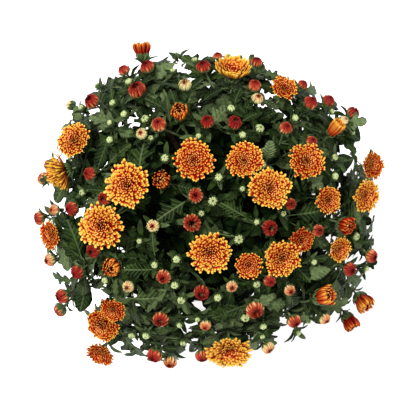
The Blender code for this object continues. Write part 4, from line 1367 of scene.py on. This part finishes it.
def packed_leaves():
    """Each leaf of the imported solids, as its matrix and stem: found by the same rule and the same chance."""
    chance = random.Random(PACKED_CHANCE)
    body = packed_blade()
    taken = [[] for _ in directions]
    for k, (stem, points, radii, head) in enumerate(routes):
        route = packed_route(points, radii, None if head is None else heads[head])
        taken[stem].append((k, search_tree(*route, Matrix.Identity(4))))
    found = []
    rules = (LEAF_TRIES, LEAF_SIZES, LEAF_SHORTEST)
    for target in leaf_targets(LEAF_COUNT, LEAF_LAYERS):
        stem = nearest_stem(target, directions)
        slope = dome_slope(target, LEAF_LEAN_SHARE)
        tilt = chance.uniform(-LEAF_TILT, LEAF_TILT)
        for matrix, route in leaf_tries(target, stem, places, slope, tilt, *rules):
            points = around.placed(matrix)
            if not (around.in_wedge(points, stem) and around.off_rim(points) and around.off_heads(points)):
                continue
            shape = search_tree(*body, matrix)
            if any(k != route and shape.overlap(other) for k, other in taken[stem]):
                continue
            found.append((matrix, stem))
            taken[stem].append((None, shape))
            break
    return found


def small_leaves():
    """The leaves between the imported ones. They keep off the heads and the rim, and may touch each other."""
    chance = random.Random(SMALL_CHANCE)
    found = []
    rules = (SMALL_LEAF_TRIES, SMALL_LEAF_SIZES, SMALL_LEAF_SHORTEST)
    targets = leaf_targets(SMALL_LEAF_COUNT, SMALL_LEAF_LAYERS)
    targets += leaf_targets(SKIRT_LEAF_COUNT, SKIRT_LAYERS, SKIRT_HIGHEST_POLAR)
    middle = Vector((0, 0, DOME_LEVEL))
    for target in targets:
        if (target - middle).angle(Vector((0, 0, 1))) < MIDDLE_POLAR:
            target = middle.lerp(target, MIDDLE_DEPTH)
        stem = nearest_stem(target, directions)
        slope = dome_slope(target, LEAF_LEAN_SHARE)
        slope = (slope + Vector([chance.uniform(-SLOPE_WOBBLE, SLOPE_WOBBLE) for _ in range(3)])).normalized()
        tilt = chance.uniform(-LEAF_TILT, LEAF_TILT)
        for matrix, _route in leaf_tries(target, stem, places, slope, tilt, *rules):
            points = around.placed(matrix)
            if around.off_rim(points) and around.off_heads(points):
                narrower = Matrix.Scale(chance.uniform(*SMALL_LEAF_NARROWER), 4, (1, 0, 0))
                found.append((matrix @ narrower, stem))
                break
    return found


def bracts():
    """The narrow leaves on the last stretch below each head."""
    chance = random.Random(BRACT_CHANCE)
    found = []
    for head in heads:
        facing = head["facing"]
        foot = head["point"] - facing * (FOOT_SHARE[head["kind"]] * head["size"])
        side = facing.orthogonal().normalized()
        first = chance.uniform(0, 2 * math.pi)
        for i in range(BRACTS_A_HEAD):
            out = Matrix.Rotation(first + i * BRACT_STEP, 3, facing) @ side
            lean = math.radians(chance.uniform(*BRACT_LEAN))
            along = (facing * math.cos(lean) + out * math.sin(lean)).normalized()
            up = (facing - along * facing.dot(along)).normalized()
            length = chance.uniform(*BRACT_LENGTHS)
            below = facing * chance.uniform(*BRACT_BELOW)
            root = foot - below + along * (LEAF_STALK * length * BRACT_STALK_SHARE)
            found.append((leaf_matrix(root, along, up, length * BRACT_WIDTH_SHARE, length), head["stem"]))
    return found


def leaf_shape(name, outline, arch, fold, wave):
    """A thin closed blade one unit long and wide on a stalk, with leaf_at: across, along, 1 underneath."""
    bm = bmesh.new()
    layer = bm.verts.layers.float_vector.new("leaf_at")

    def point(x, y, drop=0.0, under=0.0):
        height = arch * math.sin(math.pi * y) - LEAF_DROOP * y * y + fold * abs(x) * (1 - FOLD_EASED * y)
        height += wave * math.sin(WAVES * y + WAVE_OFFSET * math.copysign(1, x)) * abs(x) * 2
        vertex = bm.verts.new((x, y, height - drop))
        vertex[layer] = (x, y, under)
        return vertex

    rows = []
    for half, y in outline:
        top = [point(share * half, y, 0.0 if share else BLADE_THICKNESS) for share in BLADE_ACROSS]
        rows.append((top, point(0, y, 2 * BLADE_THICKNESS, 1.0)))
    for (low, low_rib), (high, high_rib) in zip(rows, rows[1:]):
        for corners in zip(low, low[1:], high[1:], high):
            bm.faces.new(corners)
        bm.faces.new((low[0], high[0], high_rib, low_rib))
        bm.faces.new((low_rib, high_rib, high[-1], low[-1]))
    tip = point(0, 1)
    last, last_rib = rows[-1]
    for pair in zip(last, last[1:]):
        bm.faces.new((*pair, tip))
    bm.faces.new((last[0], tip, last_rib))
    bm.faces.new((last_rib, tip, last[-1]))
    first, first_rib = rows[0]
    bm.faces.new(first[::-1] + [first_rib])
    stalk = []
    for y, share in STALK_RINGS:
        radius = STALK_WIDTH * share
        drop = BLADE_THICKNESS if y > 0 else STALK_SAG * math.sin(math.pi * y / LEAF_STALK)
        ring = []
        for k in range(STALK_SIDES):
            angle = math.pi * (2 * k / STALK_SIDES + 0.25)
            vertex = bm.verts.new((radius * math.cos(angle), y, radius * math.sin(angle) - drop))
            vertex[layer] = STALK_MARK
            ring.append(vertex)
        stalk.append(ring)
    skin_rings(bm, stalk)
    bm.faces.new(stalk[0])
    bm.faces.new(stalk[-1])
    return closed_mesh(bm, name)


def vein_group():
    """A leaf's midrib and its slanting side veins, as a mask and as a height for a Bump node."""
    inputs = {"Side veins": 7.0, "Slant": 0.8}
    outputs = {"Veins": "Float", "Height": "Float"}
    tree, given, result = new_group("ShaderNodeTree", "leaf veins", inputs, outputs)
    at = marks(tree, "leaf_at")
    across = calc("ABSOLUTE", at["X"])
    rib = mask(across, *RIB_EDGES)
    step = calc("FRACT", (at["Y"] - across * given["Slant"]) * given["Side veins"])
    off = calc("ABSOLUTE", step - 0.5)
    side = mask(off, *VEIN_EDGES) * mask(across, *VEIN_REACH)
    calc("MAXIMUM", rib, side * SIDE_VEIN_STRENGTH).feeds(result, "Veins")
    (mask(off, 0.0, 0.5) * VEIN_SWELL + rib * RIB_GROOVE).feeds(result, "Height")
    return tree


def leaf_material():
    """A leaf's tint is its chance, its depth and its kind, from 0 for packed leaves to 1 for bracts."""
    material, tree, shader = new_material("chrysanthemum leaf", Specular_IOR_Level=0.06)
    veins = use_group(tree, vein_group())
    at, tint = marks(tree, "leaf_at"), marks(tree, "leaf_tint")
    own, depth, kind = tint["X"], tint["Y"], tint["Z"]
    mottle = use_group(tree, soft_mottle, Scale=130.0, Light=LEAF_GREEN, Dark=LEAF_DARK_AND_SHADE)
    speckle = use_group(tree, soft_mottle, Scale=420.0, Light=LEAF_GREEN, Dark=LEAF_DARK_AND_SHADE)
    speckled = speckle["Patches"] * -SPECKLE_SHARE + SPECKLE_SHARE
    darker = calc("MAXIMUM", mask(own, *DARK_CHANCE) * DARK_SHARE, speckled)
    # Outer leaves, picked by chance, are blended toward the pale grey-green as a painted sheen
    painted_sheen = mask(own, *SHEEN_CHANCE) * mask(depth, *SHEEN_DEPTH) * (kind * -BRACT_LESS_SHEEN + SHEEN_SHARE)
    colour = blend_colours(painted_sheen, mottle["Colour"], LEAF_VEIN_AND_SHEEN)
    colour = blend_colours(darker, colour, LEAF_DARK_AND_SHADE)
    veined = kind * -BRACT_LESS_VEINED + 1.0
    colour = blend_colours(veins["Veins"] * VEIN_SHARE * veined, colour, LEAF_VEIN_AND_SHEEN)
    # Leaves deep under the dome's skin are darkened toward the dark green: painted shade
    painted_shade = mask(depth, *PAINTED_SHADE_DEPTH)
    colour = blend_colours(painted_shade, colour, LEAF_DARK_AND_SHADE)
    colour = blend_colours(mask(at["Z"], *UNDERSIDE), colour, LEAF_UNDER)
    grain = use_group(tree, fine_grain, Scale=2200.0, Coarse_scale=500.0)["Height"]
    least, by_grain, by_painted_shade = LEAF_ROUGHNESS
    (painted_shade * by_painted_shade + (grain * by_grain + least)).feeds(shader, "Roughness")
    dress(shader, colour, grain * GRAIN_IN_BUMP + veins["Height"] * veined, metres=0.0010)
    return material


around = Surroundings()
places = twig_places()
leaf_finish = leaf_material()
leaf_meshes = [leaf_shape(f"leaf_{i}", *form) for i, form in enumerate(LEAF_FORMS)]
leaf_shapes = shapes_collection("leaf_shape", leaf_meshes)
chance = random.Random(TINT_CHANCE)
grown = []
for kind, found in enumerate((packed_leaves(), small_leaves(), bracts())):
    choices = KIND_SHAPES[kind]
    for matrix, stem in found:
        shape = choices[chance.randrange(len(choices)) if len(choices) > 1 else 0]
        turn = Matrix([column.normalized() for column in matrix.to_3x3().col]).transposed()
        width, length = matrix.col[0].length, matrix.col[1].length
        spot = {"place": matrix.translation, "turn": list(turn.to_euler()), "size": [width, length, length]}
        middle = matrix @ Vector((0, BLADE_MIDDLE, 0)) - Vector((0, 0, DOME_LEVEL))
        depth = 1 - middle.length / dome_reach(middle.normalized())
        spot |= {"shape": shape, "leaf_tint": [chance.random(), max(depth, 0.0), kind / 2]}
        grown.append((stem, spot))
for number in range(len(directions)):
    spots = [spot for stem, spot in grown if stem == number]
    leaves = place_all(f"leafy_stem_{number + 1:02d}_leaves", leaf_shapes, spots, leaf_finish)
    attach(leaves, "root")
    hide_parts(f"leafy_stem_{number + 1:02d}")
drop_collection(leaf_shapes)


# Coloured buds are balls of closed petals that stand in green cups. Most are coral to brick red round a dark
# mouth and pale at their foot, and the youngest are still cream.
PEACH_TONES = (0.45, 0.62)
CREAM_TONES = (0.22, 0.38)
RED_TONES = (0.70, 1.0)
# By their place in COLOURED_BUDS, from 0: which buds are peach, and the first one that is still cream
PEACH_BUDS = (5, 13, 29, 37, 38, 45, 46, 49, 50)
FIRST_CREAM_BUD = 51
# Along a closed bud's petal, as for bracts: place, width, height and margins' rise
COLOURED_BUD_STATIONS = (
    (0.00, 0.50, 0.00, 0.02),
    (0.22, 0.80, -0.20, 0.04),
    (0.50, 1.00, -0.30, 0.06),
    (0.76, 0.90, -0.24, 0.06),
    (0.93, 0.62, -0.08, 0.05),
    (1.00, 0.25, 0.02, 0.02),
)
BUD_PETAL_THICKNESS = 0.05
# Four buds: petals, inner and outer (tip reach, tip height). All share the reach, height and width of roots.
BUD_FORMS = (
    (76, (0.04, 0.20), (0.38, 0.12)),
    (72, (0.06, 0.24), (0.40, 0.16)),
    (80, (0.02, 0.28), (0.34, 0.14)),
    (66, (0.10, 0.24), (0.44, 0.28)),
)
INNER_BUD_ROOTS, OUTER_BUD_ROOTS = (0.10, -0.30, 0.10), (0.20, -0.42, 0.18)
BUD_TONES = (
    (0.0, (0.38, 0.43, 0.17, 1)),
    (0.3, (0.68, 0.57, 0.27, 1)),
    (0.55, (0.66, 0.22, 0.075, 1)),
    (0.75, (0.40, 0.050, 0.022, 1)),
    (1.0, (0.19, 0.013, 0.010, 1)),
)
CRIMSON = (0.22, 0.003, 0.002, 1)
BUD_FOOT = (0.42, 0.36, 0.14, 1)
FOOT_END, FOOT_BLEND = (0.48, 0.14), 0.85
# Outermost petals are paler than their bud's tone, those at the mouth are redder, and each has its own shift
OUTER_PETALS, PALER = (0.86, 1.0), -0.30
MOUTH_PETALS, REDDER = (0.55, 0.15), 0.45
OWN_SHIFT = 0.16
RED_BUDS, DARK_TIP, DARK_EDGE = (0.35, 0.75), (0.80, 1.0), (0.70, 1.0)
EDGE_SHARE, DARK_BLEND = 0.8, 0.7
STREAK_EDGES, STREAKS_APART = (0.30, 0.70), (37.0, 11.0)
BUD_CHANCE, BUD_SEED = SEED + 6, SEED + 20


def streak_group():
    """Fine streaks along a petal, each petal with its own: a mask about 0.5, and a height."""
    inputs = {"Streaks": 5.0, "Length": 1.2}
    outputs = {"Streaks": "Float", "Height": "Float"}
    tree, given, result = new_group("ShaderNodeTree", "petal streaks", inputs, outputs)
    at, tint = marks(tree, "petal_at"), marks(tree, "petal_tint")
    apart = tint["Y"] * STREAKS_APART[0] + tint["X"] * STREAKS_APART[1]
    place = combine(at["X"] * given["Length"], at["Y"] * given["Streaks"], apart)
    noise = noise_at(place, scale=1.0, detail=2.0)
    mask(noise, *STREAK_EDGES).feeds(result, "Streaks")
    noise.feeds(result, "Height")
    return tree


petal_streaks = streak_group()


def bud_material():
    """A petal's tint is its age, from 0 at the heart to 1 outside, its own chance, and its head's tone."""
    material, tree, shader = new_material("coloured bud", Roughness=0.55, Specular_IOR_Level=0.10)
    at, tint = marks(tree, "petal_at"), marks(tree, "petal_tint")
    age, along = tint["X"], at["X"]
    tone = add(tree, "ShaderNodeAttribute", attribute_name="head_tone")["Fac"]
    streaks = use_group(tree, petal_streaks)
    shift = streaks["Streaks"] * OWN_SHIFT - OWN_SHIFT / 2
    shift = mask(age, *OUTER_PETALS) * PALER + shift
    shift = mask(age, *MOUTH_PETALS) * REDDER + shift
    shift = (tint["Y"] - 0.5) * OWN_SHIFT + shift
    colour = blend_colours(mask(along, *FOOT_END) * FOOT_BLEND, ramp(tone + shift, BUD_TONES), BUD_FOOT)
    edge = mask(calc("ABSOLUTE", at["Y"]), *DARK_EDGE)
    dark = calc("MAXIMUM", edge * EDGE_SHARE, mask(along, *DARK_TIP)) * mask(tone, *RED_BUDS)
    colour = blend_colours(dark * DARK_BLEND, colour, CRIMSON)
    dress(shader, colour, streaks["Height"], metres=0.00015)
    return material


bud_finish = bud_material()
coloured_petal = petal_strip("coloured_petal", COLOURED_BUD_STATIONS, BUD_PETAL_THICKNESS)
buds = []
for i, (petals, inner, outer) in enumerate(BUD_FORMS):
    form = whorl_form(petals, inner + INNER_BUD_ROOTS, outer + OUTER_BUD_ROOTS, Spread=0.13, Crown=0.10)
    buds.append(whorl(f"coloured_{i}", coloured_petal, bud_finish, BUD_SEED + i, form))
bud_shapes = shapes_collection("bud_shape", [bud.data for bud in buds])
chance = random.Random(BUD_CHANCE)
coloured = [head for head in heads if head["kind"] == "coloured"]
for i, head in enumerate(coloured):
    tones = CREAM_TONES if i >= FIRST_CREAM_BUD else PEACH_TONES if i in PEACH_BUDS else RED_TONES
    head["spot"] = spot_of(head, chance.randrange(len(BUD_FORMS)), chance.uniform(*tones))
for number in range(len(directions)):
    spots = [head["spot"] for head in coloured if head["stem"] == number]
    if spots:
        piece = place_all(f"leafy_stem_{number + 1:02d}_buds", bud_shapes, spots, bud_finish)
        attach(piece, "root")
        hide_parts(f"leafy_stem_{number + 1:02d}")
drop_collection(bud_shapes)
for obj in buds + [coloured_petal]:
    bpy.data.objects.remove(obj, do_unlink=True)


# Open flowers are dense double blooms of short, spooned petals in a flat dome. Tips and edges are gold, the
# middles orange and the roots crimson. Each grows from the middle of its green cup.
# The very tips of the petals, and the tips in the heart, carry a painted highlight in pale gold.
BLOOM_THICKNESS = 0.02
# Along a spooned petal of a bloom and along a longer petal of a bowl
BLOOM_STATIONS = (
    (0.00, 0.40, 0.00, 0.00),
    (0.50, 0.74, 0.110, 0.03),
    (0.80, 1.00, 0.085, 0.06),
    (0.93, 0.94, 0.040, 0.05),
    (0.985, 0.66, 0.030, 0.03),
    (1.00, 0.24, 0.045, 0.01),
)
BOWL_STATIONS = (
    (0.00, 0.40, 0.00, 0.00),
    (0.34, 0.70, -0.06, 0.03),
    (0.64, 1.00, -0.07, 0.05),
    (0.84, 0.96, -0.03, 0.05),
    (0.95, 0.70, 0.02, 0.04),
    (1.00, 0.24, 0.06, 0.01),
)
# Rows in the order of WHORL_SIZES. Fade is how fast a petal's colour runs from gold at its tip to red.
BLOOM = whorl_form(
    270, (0.00, 0.15, 0.01, -0.02, 0.030), (0.53, 0.01, 0.08, -0.12, 0.066),
    Crown=0.06, Spread=0.09, Unevenness=0.16, Fade=14.0,
)
SMALL_BLOOM = whorl_form(
    160, (0.00, 0.15, 0.01, -0.02, 0.039), (0.53, 0.01, 0.08, -0.12, 0.086),
    Crown=0.06, Spread=0.09, Unevenness=0.10, Fade=14.0,
)
# Flowers at the plant's side, whose long petals fan out round a dark heart
FAN = whorl_form(
    230, (0.00, 0.08, 0.01, -0.02, 0.046), (0.57, 0.10, 0.08, -0.12, 0.076),
    Crown=0.05, Spread=0.09, Unevenness=0.08, Fade=10.0,
)
FANS = (12, 13, 15, 18, 23, 24)
# A flower that is seen from its side, one that is still a bowl of long petals, and one that is still a goblet
BOWLED = {
    2: whorl_form(
        120, (0.03, 0.42, 0.01, -0.02, 0.042), (0.54, 0.02, 0.08, -0.12, 0.068),
        Crown=0.12, Spread=0.18, Unevenness=0.05, Fade=6.0,
    ),
    6: whorl_form(
        130, (0.03, 0.10, 0.01, -0.02, 0.070), (0.50, 0.22, 0.08, -0.12, 0.105),
        Crown=0.0, Spread=0.09, Unevenness=0.05, Fade=6.0,
    ),
    11: whorl_form(
        60, (0.03, 0.30, 0.01, -0.24, 0.09), (0.30, 0.46, 0.08, -0.30, 0.13),
        Crown=0.0, Spread=0.09, Unevenness=0.05, Fade=6.0,
    ),
}
LARGE_FROM = 0.034
# The palest gold is both the petals' own tip colour and a painted highlight on the very tips. The heart's gold
# is the same for the tips of the heart's petals.
GOLD_TIP_AND_HIGHLIGHT = (0.75, 0.49, 0.088, 1)
GOLD = (0.70, 0.370, 0.034, 1)
CORAL = (0.60, 0.21, 0.10, 1)
HEART_GOLD_AND_HIGHLIGHT = (0.92, 0.44, 0.10, 1)
ORANGE = (0.64, 0.16, 0.018, 1)
RED_ORANGE = (0.40, 0.026, 0.005, 1)
OLD_GOLD = (0.60, 0.28, 0.035, 1)
INNER_FACE = ((0.34, CRIMSON), (0.54, RED_ORANGE), (0.68, ORANGE), (0.82, GOLD), (1.02, GOLD_TIP_AND_HIGHLIGHT))
OUTER_FACE = ((0.15, RED_ORANGE), (0.40, ORANGE), (0.62, OLD_GOLD), (1.10, GOLD))
# A petal's length in shares of its flower's size: at the heart, and what is added up to the rim
PETAL_LENGTH = (0.17, 0.28)
# The place on the inner face's ramp: at the tip, and the shifts by streaks, tone, heart, own chance and rim
TIP_PLACE, STREAK_SHIFT, TONE_SHIFT = 1.08, 0.30, -0.60
HEART_SHIFT, CHANCE_SHIFT, RIM_SHIFT = -0.46, 0.50, 0.22
# The same for the outer face, where it shows, and the tones whose golden edges are coral
OUTER_TONE_SHIFT, OUTER_HEART_SHIFT, OUTER_STREAK_SHIFT = -0.4, -0.62, 0.20
OUTER_HEART_AGES, OUTER_SHOWN, OUTER_SHARE = (0.42, 0.05), (0.55, 0.90), (0.95, -0.9)
CORAL_TONES = (0.30, 0.80)
# By a petal's age, 0 at the heart and 1 at the rim: which are redder, which golden, and which are gold at
# their tips, partly their own colour and partly a painted highlight
HEART_AGES, RIM_AGES, TIPPED_AGES, TIPPED_FROM = (0.60, 0.05), (0.58, 1.0), (0.60, 0.25), (0.03, 0.16)
CENTRE_AGES, CENTRE_SHARE = (0.14, 0.02), 0.70
HEART_TIP, HEART_SHARE = (0.86, 0.94), 0.95
GOLD_EDGE, GOLD_EDGE_FROM, GOLD_EDGE_SHARE = (0.70, 1.0), (0.40, 0.66), 0.45
# Each flower's redness, from about 0 for gold to 1 for red
FLOWER_TONES = (
    0.05, 0.18, -0.06, 0.16, -0.06, 0.20, 0.14, 0.12, 0.16, 0.00, 0.55, 0.38,
    0.12, 0.12, 0.38, 0.28, 0.22, 0.42, 0.00, 0.14, 0.04, 0.40, 0.20, -0.02,
)
FLOWER_SEED = SEED + 40


def petal_material():
    """The place on the inner face's ramp is highest at a petal's tip, and falls with the distance from it."""
    material, tree, shader = new_material("bronze petal", Roughness=0.6, Specular_IOR_Level=0.03)
    at, tint = marks(tree, "petal_at"), marks(tree, "petal_tint")
    along, age, tone = at["X"], tint["X"], tint["Z"]
    streaks = use_group(tree, petal_streaks)
    fade = add(tree, "ShaderNodeAttribute", attribute_name="petal_fade")["Fac"]
    from_tip = (1.0 - along) * (age * PETAL_LENGTH[1] + PETAL_LENGTH[0])
    place = TIP_PLACE - from_tip * fade
    place = (streaks["Streaks"] - 0.5) * STREAK_SHIFT + place
    place = tone * TONE_SHIFT + place
    inner = mask(age, *HEART_AGES)
    place = inner * HEART_SHIFT + place
    place = inner * (tint["Y"] * CHANCE_SHIFT - CHANCE_SHIFT / 2) + place
    place = mask(age, *RIM_AGES) * RIM_SHIFT + place
    golden = mask(calc("ABSOLUTE", at["Y"]), *GOLD_EDGE) * mask(place, *GOLD_EDGE_FROM)
    margin = blend_colours(mask(tone, *CORAL_TONES), GOLD, CORAL)
    colour = blend_colours(golden * GOLD_EDGE_SHARE, ramp(place, INNER_FACE), margin)
    # Tips of the heart's petals turn pale gold: their own colour, with a painted highlight
    heart = mask(age, *TIPPED_AGES) * mask(along, *HEART_TIP) * mask(age, *TIPPED_FROM)
    colour = blend_colours(heart * HEART_SHARE, colour, HEART_GOLD_AND_HIGHLIGHT)
    colour = blend_colours(mask(age, *CENTRE_AGES) * CENTRE_SHARE, colour, RED_ORANGE)
    outside = tone * OUTER_TONE_SHIFT + along
    outside = mask(age, *OUTER_HEART_AGES) * OUTER_HEART_SHIFT + outside
    outside = streaks["Streaks"] * OUTER_STREAK_SHIFT + outside
    shown = (tone * OUTER_SHARE[1] + OUTER_SHARE[0]) * mask(at["Z"], *OUTER_SHOWN)
    colour = blend_colours(calc("MAXIMUM", shown, 0.0), colour, ramp(outside, OUTER_FACE))
    dress(shader, colour, streaks["Height"], metres=0.0001)
    return material


petal_finish = petal_material()
bloom_petal = petal_strip("bloom_petal", BLOOM_STATIONS, BLOOM_THICKNESS, TROUGH_HALF)
bowl_petal = petal_strip("bowl_petal", BOWL_STATIONS, BLOOM_THICKNESS, TROUGH_HALF)


def finish_flower(piece, head, node):
    """Moves a flower's mesh from one unit at the origin to its head, and hands it over."""
    turn = Matrix.Translation(head["point"]) @ head_turn(head).to_4x4() @ Matrix.Scale(head["size"], 4)
    piece.data.transform(turn)
    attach(piece, "root")
    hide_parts(node)


for i, head in enumerate(heads[: len(FLOWERS)]):
    form = BLOOM if head["size"] >= LARGE_FROM else SMALL_BLOOM
    form = FAN if i + 1 in FANS else BOWLED.get(i + 1, form)
    form = form | {"Tone": FLOWER_TONES[i], "Fade": form["Fade"] * (1 + max(FLOWER_TONES[i], 0))}
    petal = bowl_petal if i + 1 in BOWLED else bloom_petal
    node = f"flower_{i + 1:02d}"
    piece = whorl(f"{node}_petals", petal, petal_finish, FLOWER_SEED + i, form)
    finish_flower(piece, head, node)


# Half-open flowers still hold their soft petals up in a cup, orange to red outside and dark red within. Each
# grows from the middle of its green cup, as the open ones do.
OPENING = whorl_form(
    58, (0.06, 0.26, 0.10, -0.30, 0.11), (0.50, 0.36, 0.16, -0.38, 0.17),
    Crown=0.03, Spread=0.19, Unevenness=0.10, Fade=3.5,
)
OPENING_STATIONS = (
    (0.00, 0.45, 0.00, 0.00),
    (0.30, 0.80, -0.12, 0.05),
    (0.60, 1.00, -0.13, 0.07),
    (0.82, 0.84, -0.08, 0.07),
    (0.94, 0.52, 0.00, 0.05),
    (1.00, 0.14, 0.07, 0.02),
)
OPENING_TONES = (0.78, 0.72, 0.95, 0.84, 0.86, 0.92, 0.76, 0.98)
OPENING_SEED = SEED + 80

opening_petal = petal_strip("opening_petal", OPENING_STATIONS, BUD_PETAL_THICKNESS, TROUGH_HALF)
for i, head in enumerate(heads[len(FLOWERS) : len(FLOWERS) + len(OPENING_FLOWERS)]):
    node = f"opening_flower_{i + 1:02d}"
    form = OPENING | {"Tone": OPENING_TONES[i]}
    piece = whorl(f"{node}_petals", opening_petal, petal_finish, OPENING_SEED + i, form)
    finish_flower(piece, head, node)
for obj in (bract, bloom_petal, bowl_petal, opening_petal):
    bpy.data.objects.remove(obj, do_unlink=True)


# The studio stands for the photo's white ground: a plain floor that glows weakly, an even white surround, and
# one soft light up on the left.
FLOOR_HALF = 3.0
FLOOR_WHITE = (0.96, 0.96, 0.96, 1)
FLOOR_GLOW = 0.35
SURROUND_STRENGTH = 0.95
LIGHT_FROM = (-0.38, 0.32, 1.2)
LIGHT_ANGLE = math.radians(12)
LIGHT_STRENGTH = 3.9

glow = {"Emission_Color": FLOOR_WHITE, "Emission_Strength": FLOOR_GLOW}
floor_material, _tree, _shader = new_material("white floor", Base_Color=FLOOR_WHITE, Roughness=0.9, **glow)
corners = [(x * FLOOR_HALF, y * FLOOR_HALF, 0.0) for x, y in ((-1, -1), (1, -1), (1, 1), (-1, 1))]
floor_mesh = bpy.data.meshes.new("floor")
floor_mesh.from_pydata(corners, [], [(0, 1, 2, 3)])
floor_mesh.materials.append(floor_material)
show("floor", floor_mesh)

world = bpy.data.worlds.new("surround")
bpy.context.scene.world = world
world.use_nodes = True
surround = world.node_tree.nodes["Background"]
surround.inputs["Color"].default_value = (1, 1, 1, 1)
surround.inputs["Strength"].default_value = SURROUND_STRENGTH

light = bpy.data.objects.new("soft light", bpy.data.lights.new("soft light", "SUN"))
bpy.context.scene.collection.objects.link(light)
light.data.angle = LIGHT_ANGLE
light.data.energy = LIGHT_STRENGTH
light.rotation_euler = Vector(LIGHT_FROM).to_track_quat("Z", "Y").to_euler()
bpy.context.scene.view_settings.view_transform = "Standard"
